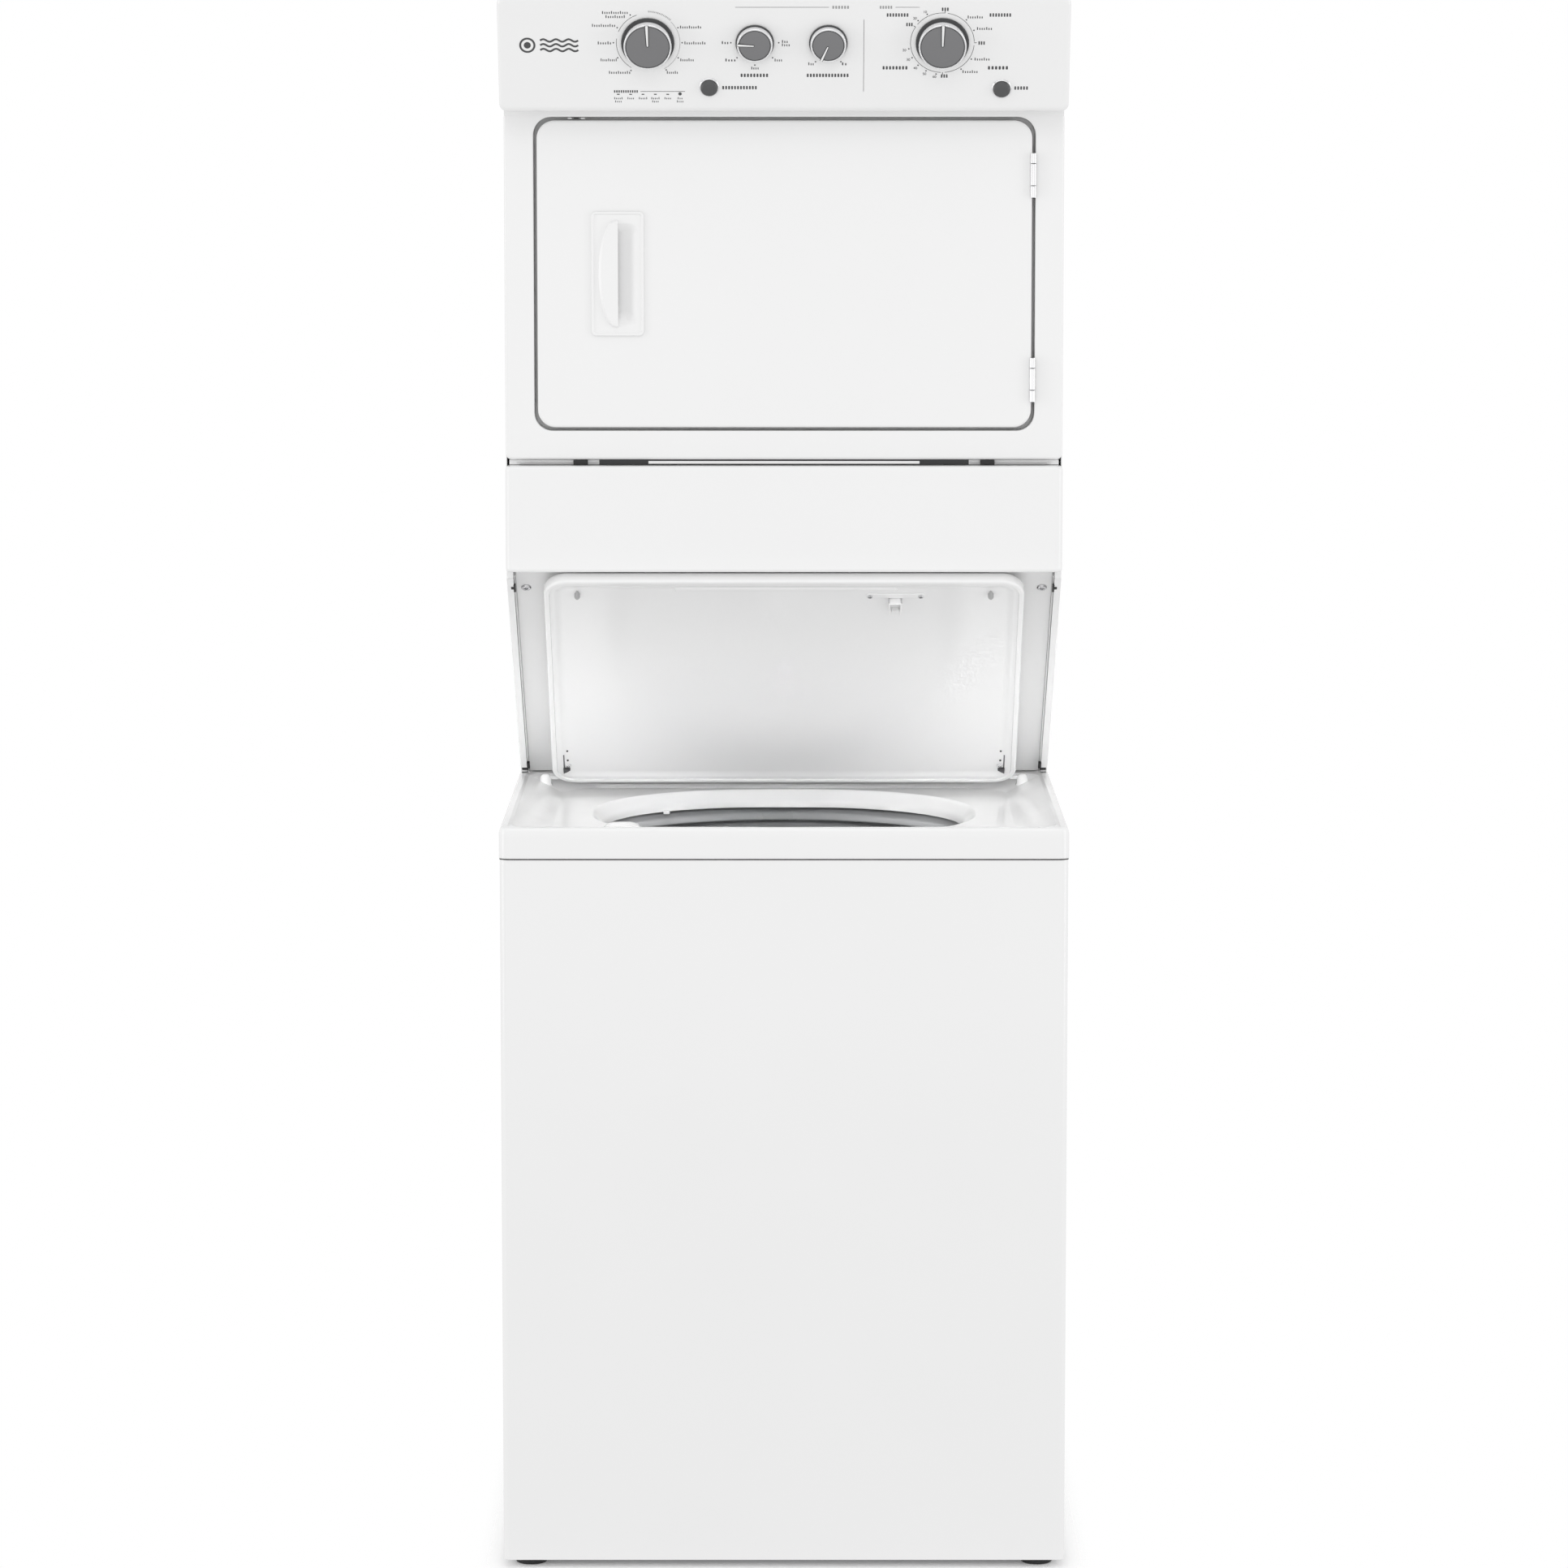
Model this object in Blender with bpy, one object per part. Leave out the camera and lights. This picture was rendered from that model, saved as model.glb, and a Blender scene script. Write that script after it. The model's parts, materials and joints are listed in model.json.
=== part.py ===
"""Stacked washer and dryer: a top-loading washer with a tumble dryer and its console above it.

Metres, +Z up, front towards -Y. The origin is on the floor, under the middle of the overall box.
A setback is a distance behind the washer's front face; front() turns it into a y position.
"""

import math

import bmesh
import bpy
from mathutils import Vector

# Overall box
WIDTH = 0.692
DEPTH = 0.821
HEIGHT = 1.918
SHEET = 0.0025  # steel sheet, with its folded edges
GAP = 0.0003  # kept between pieces that touch
FIT = 0.0005  # kept between pieces that turn or slide on each other

# Washer cabinet
CABINET_WIDTH = 0.690
CABINET_REAR = 0.745
CABINET_LOW = 0.010
CABINET_HIGH = 0.8812
CORNER_RADIUS = 0.010
FOOT_HEIGHT = 0.0242
FOOT_RADIUS = 0.020

# Washer top
DECK_LOW = 0.8815
DECK_TOP = 0.9165
RECESS_FLOOR = 0.899
FUNNEL_LIP = 0.877
RIM_HALF_WIDTH = 0.326
FLOOR_HALF_WIDTH = 0.288
RIM_SETBACKS = (0.022, 0.548)
FLOOR_SETBACKS = (0.040, 0.530)
MOUTH_SIZE = (0.455, 0.414)
MOUTH_CORNER = 0.195

# Tub, basket and agitator share this vertical axis
TUB_SETBACK = 0.300
TUB_RADIUS = 0.277
TUB_LOW, TUB_HIGH = 0.232, 0.850
TUB_RING_HIGH = 0.872
TUB_RING_MOUTH = 0.236
BASKET_RADIUS = 0.256
BASKET_LOW, BASKET_HIGH = 0.262, 0.806
BALANCE_HIGH = 0.846
BALANCE_MOUTH = 0.222
SHAFT_RADIUS = 0.018
AGITATOR_HIGH = 0.730

# Washer drive
GEARCASE_RADIUS = 0.070
PULLEY_LOW, PULLEY_HIGH = 0.085, 0.105
DRIVE_PULLEY_RADIUS = 0.075
MOTOR_PULLEY_RADIUS = 0.022
WASHER_MOTOR_X = 0.190
ROD_OFFSET = (0.235, 0.200)

# Lid, drawn closed and turned open about its pin
LID_LENGTH = 0.460
LID_REAR_HALF_WIDTH = 0.3006
LID_FRONT_HALF_WIDTH = 0.2971
LID_THICK = 0.016
LID_RIM_Z = 0.909
LID_RIM_WIDTH = 0.007
LID_OPEN = math.radians(40)
LID_PIN = (0.005, 0.006)  # from the lid's rear edge, and above its rim
LID_PIN_RADIUS = 0.0025
LID_PIN_SETBACK = 0.517

# Dryer body
BODY_WIDTH = 0.686
BODY_REAR = 0.800
BODY_TOP = 1.9032
SKIN_FRONT = 0.187
SLOPE_TOP = (0.187, 1.205)  # setback and height of the side panels' sloping edge
SLOPE_FOOT = (0.543, 0.925)
SLANT_INSET = 0.012  # the slanted panel lies this far behind that edge
SLANT_HALF_WIDTH = 0.3325
SLANT_LOW, SLANT_HIGH = 0.9175, 1.234
MID_FRONT = 0.160
MID_LOW, MID_HIGH = 1.215, 1.346
FRONT_FACE = 0.176
FRONT_LOW, FRONT_HIGH = 1.353, 1.7785
RECESS_DEPTH = 0.020
BULKHEAD = 0.2325
PAN_Z = 1.2385

# Dryer door and its opening
DOOR_SIZE = (0.6066, 0.3755)
DOOR_CENTRE = (0.0005, 1.5805)
DOOR_CORNER = 0.022
DOOR_GAP = 0.003
DOOR_FRONT, DOOR_BACK = 0.174, 0.1915
DOOR_SKIN = 0.0022
OPENING_SIZE = (0.460, 0.310)
OPENING_CORNER = 0.060
PLUG_SIZE = (0.420, 0.270)
PLUG_BACK = 0.206
HINGE_X, HINGE_SETBACK = 0.3052, 0.172
HINGE_RADIUS = 0.0037
HINGE_SPANS = ((1.424, 1.479), (1.674, 1.729))
HANDLE_CENTRE = (-0.2040, 1.5815)
HANDLE_SIZE = (0.065, 0.152)
HANDLE_DEPTH = 0.014

# Drum and what drives and feeds it
DRUM_Z = 1.575
DRUM_RADIUS = 0.310
DRUM_FRONT, DRUM_BACK = 0.240, 0.738
BELT_SETBACKS = (0.395, 0.407)
SIDE_UNIT = (0.262, 1.303)  # the blower on the right and the motor on the left
DUCT_RADIUS = 0.051
LINT_X = (0.022, 0.198)
LINT_SETBACKS = (0.2165, 0.2225)
LINT_Z = (1.272, 1.440)

# Console, whose face leans forwards at its top
CONSOLE_LOW = 1.780
CONSOLE_FOOT, CONSOLE_BACK = 0.134, 0.1865
CONSOLE_LEAN = math.radians(22.1)
KNOB_Z = 1.8625
BIG_KNOB = {"radius": 0.0289, "skirt": 0.0322, "height": 0.0155}
SMALL_KNOB = {"radius": 0.0215, "skirt": 0.0233, "height": 0.0105}
KNOBS = {
    "cycle_knob": (-0.1645, BIG_KNOB),
    "temperature_knob": (-0.0353, SMALL_KNOB),
    "softener_knob": (0.0535, SMALL_KNOB),
    "timer_knob": (0.1912, BIG_KNOB),
}
BUTTONS = {"washer_start_button": (-0.0907, 1.8087), "dryer_start_button": (0.2639, 1.8071)}
KNOB_SHAFT = 0.003
BUTTON_RADIUS = 0.0103

CORNER_STEPS = 6
ROUND_STEPS = 32


def front(setback):
    return setback - DEPTH / 2


TUB_AXIS = Vector((0, front(TUB_SETBACK), 0))


# ---- Drawing helpers ----


def paint(name, colour, roughness, metallic=0.0):
    material = bpy.data.materials.new(name)
    material.use_nodes = True
    shader = material.node_tree.nodes["Principled BSDF"]
    shader.inputs["Base Color"].default_value = (*colour, 1)
    shader.inputs["Roughness"].default_value = roughness
    shader.inputs["Metallic"].default_value = metallic
    return material


def add_object(name, bm, look, origin=(0, 0, 0), turn=(0, 0, 0), smooth=True):
    """Makes an object whose mesh was drawn in place, with its origin moved to origin."""
    bmesh.ops.recalc_face_normals(bm, faces=bm.faces)
    bmesh.ops.translate(bm, verts=bm.verts, vec=-Vector(origin))
    mesh = bpy.data.meshes.new(name)
    bm.to_mesh(mesh)
    bm.free()
    if smooth:
        mesh.shade_smooth()
        mesh.set_sharp_from_angle(angle=math.radians(35))
    mesh.materials.append(paint(f"{name}_look", *look))
    made = bpy.data.objects.new(name, mesh)
    made.location = origin
    made.rotation_euler = turn
    bpy.context.scene.collection.objects.link(made)
    return made


def skin_loops(bm, loops, ring=False):
    """Joins closed loops of equal length into a skin. A ring joins the last loop to the first;
    otherwise the first and last loops are filled."""
    rows = [[bm.verts.new(point) for point in loop] for loop in loops]
    pairs = list(zip(rows, rows[1:]))
    if ring:
        pairs.append((rows[-1], rows[0]))
    count = len(rows[0])
    for low, high in pairs:
        for i in range(count):
            j = (i + 1) % count
            bm.faces.new((low[i], low[j], high[j], high[i]))
    if not ring:
        bm.faces.new(list(reversed(rows[0])))
        bm.faces.new(rows[-1])


def from_loops(name, loops, look, ring=False, **place):
    bm = bmesh.new()
    skin_loops(bm, loops, ring)
    return add_object(name, bm, look, **place)


def box(name, low, high, look, **place):
    (x0, y0, z0), (x1, y1, z1) = low, high
    outline = ((x0, y0), (x1, y0), (x1, y1), (x0, y1))
    loops = [[(x, y, z) for x, y in outline] for z in (z0, z1)]
    return from_loops(name, loops, look, smooth=False, **place)


def rounded(centre, size, corner, steps=CORNER_STEPS):
    """A rounded rectangle, anticlockwise from its right side's lower end."""
    (cx, cy), (width, height) = centre, size
    points = []
    for quarter, (sx, sy) in enumerate(((1, -1), (1, 1), (-1, 1), (-1, -1))):
        for step in range(steps + 1):
            angle = math.pi / 2 * (quarter - 1 + step / steps)
            points.append((
                cx + sx * (width / 2 - corner) + corner * math.cos(angle),
                cy + sy * (height / 2 - corner) + corner * math.sin(angle),
            ))
    return points


def upright(setback, outline):
    """Places an outline of x and z in the upright plane at a setback."""
    return [(x, front(setback), z) for x, z in outline]


def level(z, outline):
    """Places an outline of x and setback at a height."""
    return [(x, front(setback), z) for x, setback in outline]


def side_prism(name, outline, x0, x1, look, **place):
    """Extrudes an outline of setback and height from x0 to x1."""
    loops = [[(x, front(setback), z) for setback, z in outline] for x in (x0, x1)]
    return from_loops(name, loops, look, **place)


def circle(radius, steps=ROUND_STEPS):
    return [
        (radius * math.cos(2 * math.pi * i / steps), radius * math.sin(2 * math.pi * i / steps))
        for i in range(steps)
    ]


def turned(name, profile, look, axis="z", centre=(0, 0, 0), steps=ROUND_STEPS, ring=False, **place):
    """Turns a profile of radius and position along the axis."""
    loops = []
    for radius, along in profile:
        if axis == "z":
            loops.append([(a, b, along) for a, b in circle(radius, steps)])
        else:
            loops.append([(a, along, b) for a, b in circle(radius, steps)])
    loops = [[Vector(centre) + Vector(point) for point in loop] for loop in loops]
    return from_loops(name, loops, look, ring, **place)


def combine(target, other, operation):
    """Applies a Boolean with an object that is then removed."""
    step = target.modifiers.new(operation.lower(), "BOOLEAN")
    step.operation = operation
    step.solver = "EXACT"
    step.object = other
    bpy.context.view_layer.update()
    graph = bpy.context.evaluated_depsgraph_get()
    result = bpy.data.meshes.new_from_object(target.evaluated_get(graph), depsgraph=graph)
    target.modifiers.clear()
    target.data = result
    bpy.data.objects.remove(other)
    return target


def tangent_hull(first, second, grow, steps=48):
    """The outline of a belt round two circles in a plane, each (x, y, radius). Its flats clear them."""
    points = []
    for x, y, radius in (first, second):
        corner_radius = (radius + grow) / math.cos(math.pi / steps)
        points += [(x + a, y + b) for a, b in circle(corner_radius, steps)]
    points = sorted(set(points))

    def half(ordered):
        chain = []
        for p in ordered:
            while len(chain) > 1:
                (ax, ay), (bx, by) = chain[-2], chain[-1]
                if (bx - ax) * (p[1] - ay) - (by - ay) * (p[0] - ax) > 1e-12:
                    break
                chain.pop()
            chain.append(p)
        return chain[:-1]

    return half(points) + half(reversed(points))


# ---- Looks: colour, roughness, metallic ----

ENAMEL = ((0.86, 0.86, 0.86), 0.25)
WHITE_PLASTIC = ((0.82, 0.82, 0.82), 0.4)
GREY_PLASTIC = ((0.25, 0.26, 0.27), 0.45)
BLACK_PLASTIC = ((0.03, 0.03, 0.03), 0.5)
RUBBER = ((0.04, 0.04, 0.04), 0.8)
ZINC = ((0.62, 0.63, 0.64), 0.4, 1.0)
STEEL = ((0.7, 0.7, 0.7), 0.3, 1.0)
TUB_PLASTIC = ((0.7, 0.71, 0.72), 0.5)


# ---- Washer ----


def washer_shell():
    half = CABINET_WIDTH / 2
    outline = rounded((0, 0.5), (2 * half, 1.0), CORNER_RADIUS)
    # The wrap goes round the front and both sides, and its back is open.
    quarter = CORNER_STEPS + 1
    outer = [(half, CABINET_REAR)] + [p for p in reversed(outline[:quarter])]
    outer += [p for p in reversed(outline[3 * quarter:])] + [(-half, CABINET_REAR)]
    inner_half = half - SHEET
    inside = rounded((0, 0.5), (2 * inner_half, 1.0 - 2 * SHEET), CORNER_RADIUS - SHEET)
    inner = [(-inner_half, CABINET_REAR)] + inside[3 * quarter:]
    inner += inside[:quarter] + [(inner_half, CABINET_REAR)]
    loops = [level(z, outer + inner) for z in (CABINET_LOW, CABINET_HIGH)]
    from_loops("washer_cabinet", loops, ENAMEL)
    box(
        "washer_rear_panel",
        (-inner_half + GAP, front(CABINET_REAR - 2 * SHEET), CABINET_LOW + 0.03),
        (inner_half - GAP, front(CABINET_REAR - SHEET), CABINET_HIGH),
        ZINC,
    )
    outer_base = rounded((0, 0.370), (0.676, 0.720), 0.012)
    inner_base = rounded((0, 0.370), (0.590, 0.640), 0.012)
    low, high = FOOT_HEIGHT + GAP, 0.044
    loops = [level(low, outer_base), level(high, outer_base)]
    loops += [level(high, inner_base), level(low, inner_base)]
    from_loops("washer_base", loops, ZINC, ring=True)


def feet():
    profile = ((FOOT_RADIUS - 0.002, 0), (FOOT_RADIUS, 0.003), (FOOT_RADIUS - 0.004, 0.011))
    profile += ((0.007, 0.012), (0.007, FOOT_HEIGHT))
    number = 0
    for setback in (0.034, 0.706):
        for x in (-0.312, 0.312):
            number += 1
            turned(
                f"levelling_foot_{number}", profile, RUBBER,
                centre=(x, front(setback), 0), steps=16, origin=(x, front(setback), 0),
            )


def washer_top():
    """The top wraps the cabinet's edge, dips to a recess for the lid and rolls into the tub's mouth."""
    mouth_centre = (0, TUB_SETBACK)
    middle = CABINET_REAR / 2

    def deck(inset):
        size = (WIDTH - 2 * inset, CABINET_REAR - 2 * inset)
        return rounded((0, middle), size, 0.012 - inset)

    def recess(half_width, setbacks, corner, grow=0.0):
        size = (2 * (half_width + grow), setbacks[1] - setbacks[0] + 2 * grow)
        return rounded((0, sum(setbacks) / 2), size, corner + grow)

    def mouth(grow):
        size = (MOUTH_SIZE[0] + 2 * grow, MOUTH_SIZE[1] + 2 * grow)
        return rounded(mouth_centre, size, MOUTH_CORNER + grow)

    under = DECK_TOP - SHEET
    loops = [
        level(DECK_LOW, deck(0)),
        level(DECK_TOP - 0.005, deck(0)),
        level(DECK_TOP - 0.0015, deck(0.0015)),
        level(DECK_TOP, deck(0.005)),
        level(DECK_TOP, recess(RIM_HALF_WIDTH, RIM_SETBACKS, 0.030)),
        level(RECESS_FLOOR, recess(FLOOR_HALF_WIDTH, FLOOR_SETBACKS, 0.045)),
        level(RECESS_FLOOR, mouth(0.012)),
        level(RECESS_FLOOR - 0.004, mouth(0.003)),
        level(FUNNEL_LIP, mouth(0)),
        level(FUNNEL_LIP, mouth(SHEET)),
        level(RECESS_FLOOR - 0.006, mouth(0.003 + SHEET)),
        level(RECESS_FLOOR - SHEET, mouth(0.014)),
        level(RECESS_FLOOR - SHEET, recess(FLOOR_HALF_WIDTH, FLOOR_SETBACKS, 0.045, 0.0005)),
        level(under, recess(RIM_HALF_WIDTH, RIM_SETBACKS, 0.030, SHEET)),
        level(under, deck(0.006)),
        level(DECK_LOW, deck(SHEET)),
    ]
    from_loops("washer_top_deck", loops, ENAMEL, ring=True)


def tub_parts():
    axis = TUB_AXIS
    wall = 0.004
    bore = SHAFT_RADIUS + 0.004
    tub = (
        (bore, TUB_LOW), (TUB_RADIUS - 0.03, TUB_LOW), (TUB_RADIUS, TUB_LOW + 0.03),
        (TUB_RADIUS, TUB_HIGH), (TUB_RADIUS - wall, TUB_HIGH),
        (TUB_RADIUS - wall, TUB_LOW + 0.033), (TUB_RADIUS - 0.033, TUB_LOW + wall),
        (bore, TUB_LOW + wall),
    )
    turned("outer_tub", tub, TUB_PLASTIC, centre=axis, ring=True)
    ring = (
        (TUB_RING_MOUTH, 0.856), (TUB_RADIUS - 0.008, TUB_HIGH + GAP), (TUB_RADIUS + 0.002, TUB_HIGH + GAP),
        (TUB_RADIUS + 0.002, 0.862), (TUB_RADIUS - 0.010, TUB_RING_HIGH),
        (TUB_RING_MOUTH + 0.010, TUB_RING_HIGH), (TUB_RING_MOUTH, TUB_RING_HIGH - 0.006),
    )
    turned("tub_ring", ring, WHITE_PLASTIC, centre=axis, ring=True)
    ball = (
        (0.004, 0.300), (0.030, 0.301), (0.030, 0.330), (0.016, 0.345), (0.004, 0.346),
        (0.004, 0.850), (0.011, 0.857), (0.011, 0.866), (0.005, 0.870),
    )
    number = 0
    for sy in (-1, 1):
        for sx in (-1, 1):
            number += 1
            centre = axis + Vector((sx * ROD_OFFSET[0], sy * ROD_OFFSET[1], 0))
            turned(f"suspension_rod_{number}", ball, ZINC, centre=centre, steps=10, origin=centre)


def washer_drive():
    axis = TUB_AXIS
    bore = SHAFT_RADIUS + FIT
    case = (
        (bore, 0.118), (GEARCASE_RADIUS - 0.006, 0.118), (GEARCASE_RADIUS, 0.128),
        (GEARCASE_RADIUS, 0.205), (0.045, TUB_LOW - 0.002), (bore, TUB_LOW - 0.002),
    )
    turned("gearcase", case, ZINC, centre=axis, steps=24, ring=True)
    motor_at = axis + Vector((WASHER_MOTOR_X, 0, 0))
    motor = (
        (0.050, 0.112), (0.056, 0.118), (0.056, 0.150), (0.052, 0.152), (0.052, 0.180),
        (0.056, 0.182), (0.056, 0.208), (0.048, 0.216),
    )
    turned("washer_motor", motor, STEEL, centre=motor_at, steps=20)

    def pulley(radius):
        return (
            (radius - 0.003, PULLEY_LOW), (radius, PULLEY_LOW + 0.004),
            (radius, PULLEY_HIGH - 0.004), (radius - 0.003, PULLEY_HIGH),
        )

    turned(
        "motor_pulley", pulley(MOTOR_PULLEY_RADIUS), STEEL,
        centre=motor_at, steps=20, origin=motor_at + Vector((0, 0, PULLEY_LOW)),
    )
    hub = SHAFT_RADIUS + GAP
    drive = pulley(DRIVE_PULLEY_RADIUS) + ((hub, PULLEY_HIGH), (hub, PULLEY_LOW))
    turned("drive_pulley", drive, STEEL, centre=axis, ring=True, origin=axis)
    circles = (
        (axis.x, axis.y, DRIVE_PULLEY_RADIUS),
        (motor_at.x, motor_at.y, MOTOR_PULLEY_RADIUS),
    )
    inside, outside = (tangent_hull(*circles, grow) for grow in (FIT, FIT + 0.003))
    loops = []
    for outline, z in ((outside, 0.090), (outside, 0.100), (inside, 0.100), (inside, 0.090)):
        loops.append([(x, y, z) for x, y in outline])
    from_loops("drive_belt", loops, RUBBER, ring=True)
    pump = (
        (0.018, 0.0), (0.034, 0.002), (0.034, 0.030), (0.046, 0.032), (0.046, 0.060),
        (0.020, 0.064), (0.012, 0.066), (0.012, 0.092),
    )
    turned(
        "drain_pump", pump, BLACK_PLASTIC, axis="y",
        centre=(-0.20, front(0.09), 0.098), steps=20,
    )


def wash_basket():
    axis = TUB_AXIS
    wall = 0.002
    bore = SHAFT_RADIUS + GAP
    basket = (
        (bore, BASKET_LOW), (BASKET_RADIUS - 0.03, BASKET_LOW), (BASKET_RADIUS, BASKET_LOW + 0.03),
        (BASKET_RADIUS, BASKET_HIGH), (BASKET_RADIUS - wall, BASKET_HIGH),
        (BASKET_RADIUS - wall, BASKET_LOW + 0.031), (BASKET_RADIUS - 0.031, BASKET_LOW + wall),
        (bore, BASKET_LOW + wall),
    )
    turned("wash_basket", basket, STEEL, centre=axis, ring=True, origin=axis)
    outside = BASKET_RADIUS + 0.006
    ring = (
        (BALANCE_MOUTH + 0.004, 0.812), (BASKET_RADIUS - 0.012, BASKET_HIGH + GAP),
        (outside, BASKET_HIGH + GAP), (outside, BALANCE_HIGH - 0.006),
        (outside - 0.006, BALANCE_HIGH), (BALANCE_MOUTH + 0.008, BALANCE_HIGH),
        (BALANCE_MOUTH, BALANCE_HIGH - 0.008),
    )
    turned("balance_ring", ring, WHITE_PLASTIC, centre=axis, ring=True, origin=axis)
    shaft = ((SHAFT_RADIUS, 0.075), (SHAFT_RADIUS, 0.276), (0.010, 0.278), (0.010, 0.290))
    turned("drive_shaft", shaft, STEEL, centre=axis, steps=24, origin=axis)


def agitator():
    """A skirt with four low vanes under a post with four ribs. Each level gives the post's radius
    and how far the vanes reach past it."""
    levels = (
        (0.292, 0.168, 0.004), (0.298, 0.168, 0.004), (0.308, 0.150, 0.016), (0.330, 0.110, 0.046),
        (0.362, 0.078, 0.058), (0.400, 0.058, 0.046), (0.450, 0.048, 0.026), (0.560, 0.044, 0.014),
        (0.660, 0.042, 0.010), (0.690, 0.042, 0.004), (0.700, 0.040, 0.0),
    )
    steps, vanes = 48, 4
    loops = []
    for z, radius, reach in levels:
        loop = []
        for i in range(steps):
            angle = 2 * math.pi * i / steps
            lobe = max(0.0, math.cos(vanes * angle)) ** 4
            r = radius + reach * lobe
            loop.append(TUB_AXIS + Vector((r * math.cos(angle), r * math.sin(angle), z)))
        loops.append(loop)
    from_loops("agitator", loops, WHITE_PLASTIC, origin=TUB_AXIS)
    cap = (
        (0.036, 0.700 + GAP), (0.046, 0.704), (0.046, 0.716), (0.038, AGITATOR_HIGH - 0.002),
        (0.030, AGITATOR_HIGH),
    )
    turned("agitator_cap", cap, WHITE_PLASTIC, centre=TUB_AXIS, steps=24, origin=TUB_AXIS)


def lid():
    """Drawn closed in x, distance from the rear edge, and height above the rim, then turned open."""
    pin = Vector((0, front(LID_PIN_SETBACK), LID_RIM_Z + LID_PIN[1]))

    def loop(height, inset, corner):
        outline = rounded(
            (0, LID_LENGTH / 2),
            (2 * (LID_REAR_HALF_WIDTH - inset), LID_LENGTH - 2 * inset), corner,
        )
        taper = (LID_FRONT_HALF_WIDTH - LID_REAR_HALF_WIDTH) / LID_LENGTH / LID_REAR_HALF_WIDTH
        return [
            (x * (1 + taper * u), pin.y + LID_PIN[0] - u, LID_RIM_Z + height)
            for x, u in outline
        ]

    wall = LID_RIM_WIDTH
    outer = [
        loop(LID_THICK - 0.002, 0.009, 0.022),
        loop(0.002, 0.009, 0.022),
        loop(0.0, wall, 0.024),
        loop(0.0, 0.002, 0.029),
        loop(0.002, 0.0, 0.030),
        loop(LID_THICK - 0.004, 0.0, 0.030),
        loop(LID_THICK, 0.004, 0.028),
    ]
    turn = (-LID_OPEN, 0, 0)
    outside = from_loops("lid_outer", outer, ENAMEL, origin=pin, turn=turn)
    bpy.context.view_layer.update()
    for side in (-1, 1):
        x0, x1 = side * 0.284, side * (LID_REAR_HALF_WIDTH + 0.01)
        bore = [
            [(x, pin.y + a, pin.z + b) for a, b in circle(LID_PIN_RADIUS + 0.0004, 12)]
            for x in (x0, x1)
        ]
        combine(outside, from_loops("bore", bore, ZINC), "DIFFERENCE")
    inner = [
        loop(0.0045, 0.0095, 0.0215),
        loop(0.0065, 0.0095, 0.0215),
    ]
    from_loops("lid_inner", inner, ENAMEL, origin=pin, turn=turn)
    for name, side in (("left", -1), ("right", 1)):
        bracket = box(
            f"lid_hinge_{name}",
            (min(side * 0.3030, side * 0.3070), pin.y - 0.006, 0.9130),
            (max(side * 0.3030, side * 0.3070), pin.y + 0.006, pin.z + 0.006),
            STEEL,
        )
        rod = [
            [(x, pin.y + a, pin.z + b) for a, b in circle(LID_PIN_RADIUS, 12)]
            for x in (side * 0.2935, side * 0.3050)
        ]
        combine(bracket, from_loops("rod", rod, STEEL), "UNION")


def water_valve():
    y = front(CABINET_REAR + GAP)
    body = box("water_valve", (-0.120, y, 0.770), (-0.020, y + 0.022, 0.820), WHITE_PLASTIC)
    for x in (-0.095, -0.045):
        inlet = ((0.013, y + 0.018), (0.013, y + 0.050))
        combine(body, turned("inlet", inlet, STEEL, axis="y", centre=(x, 0, 0.795), steps=16), "UNION")


# ---- Dryer ----


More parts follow.
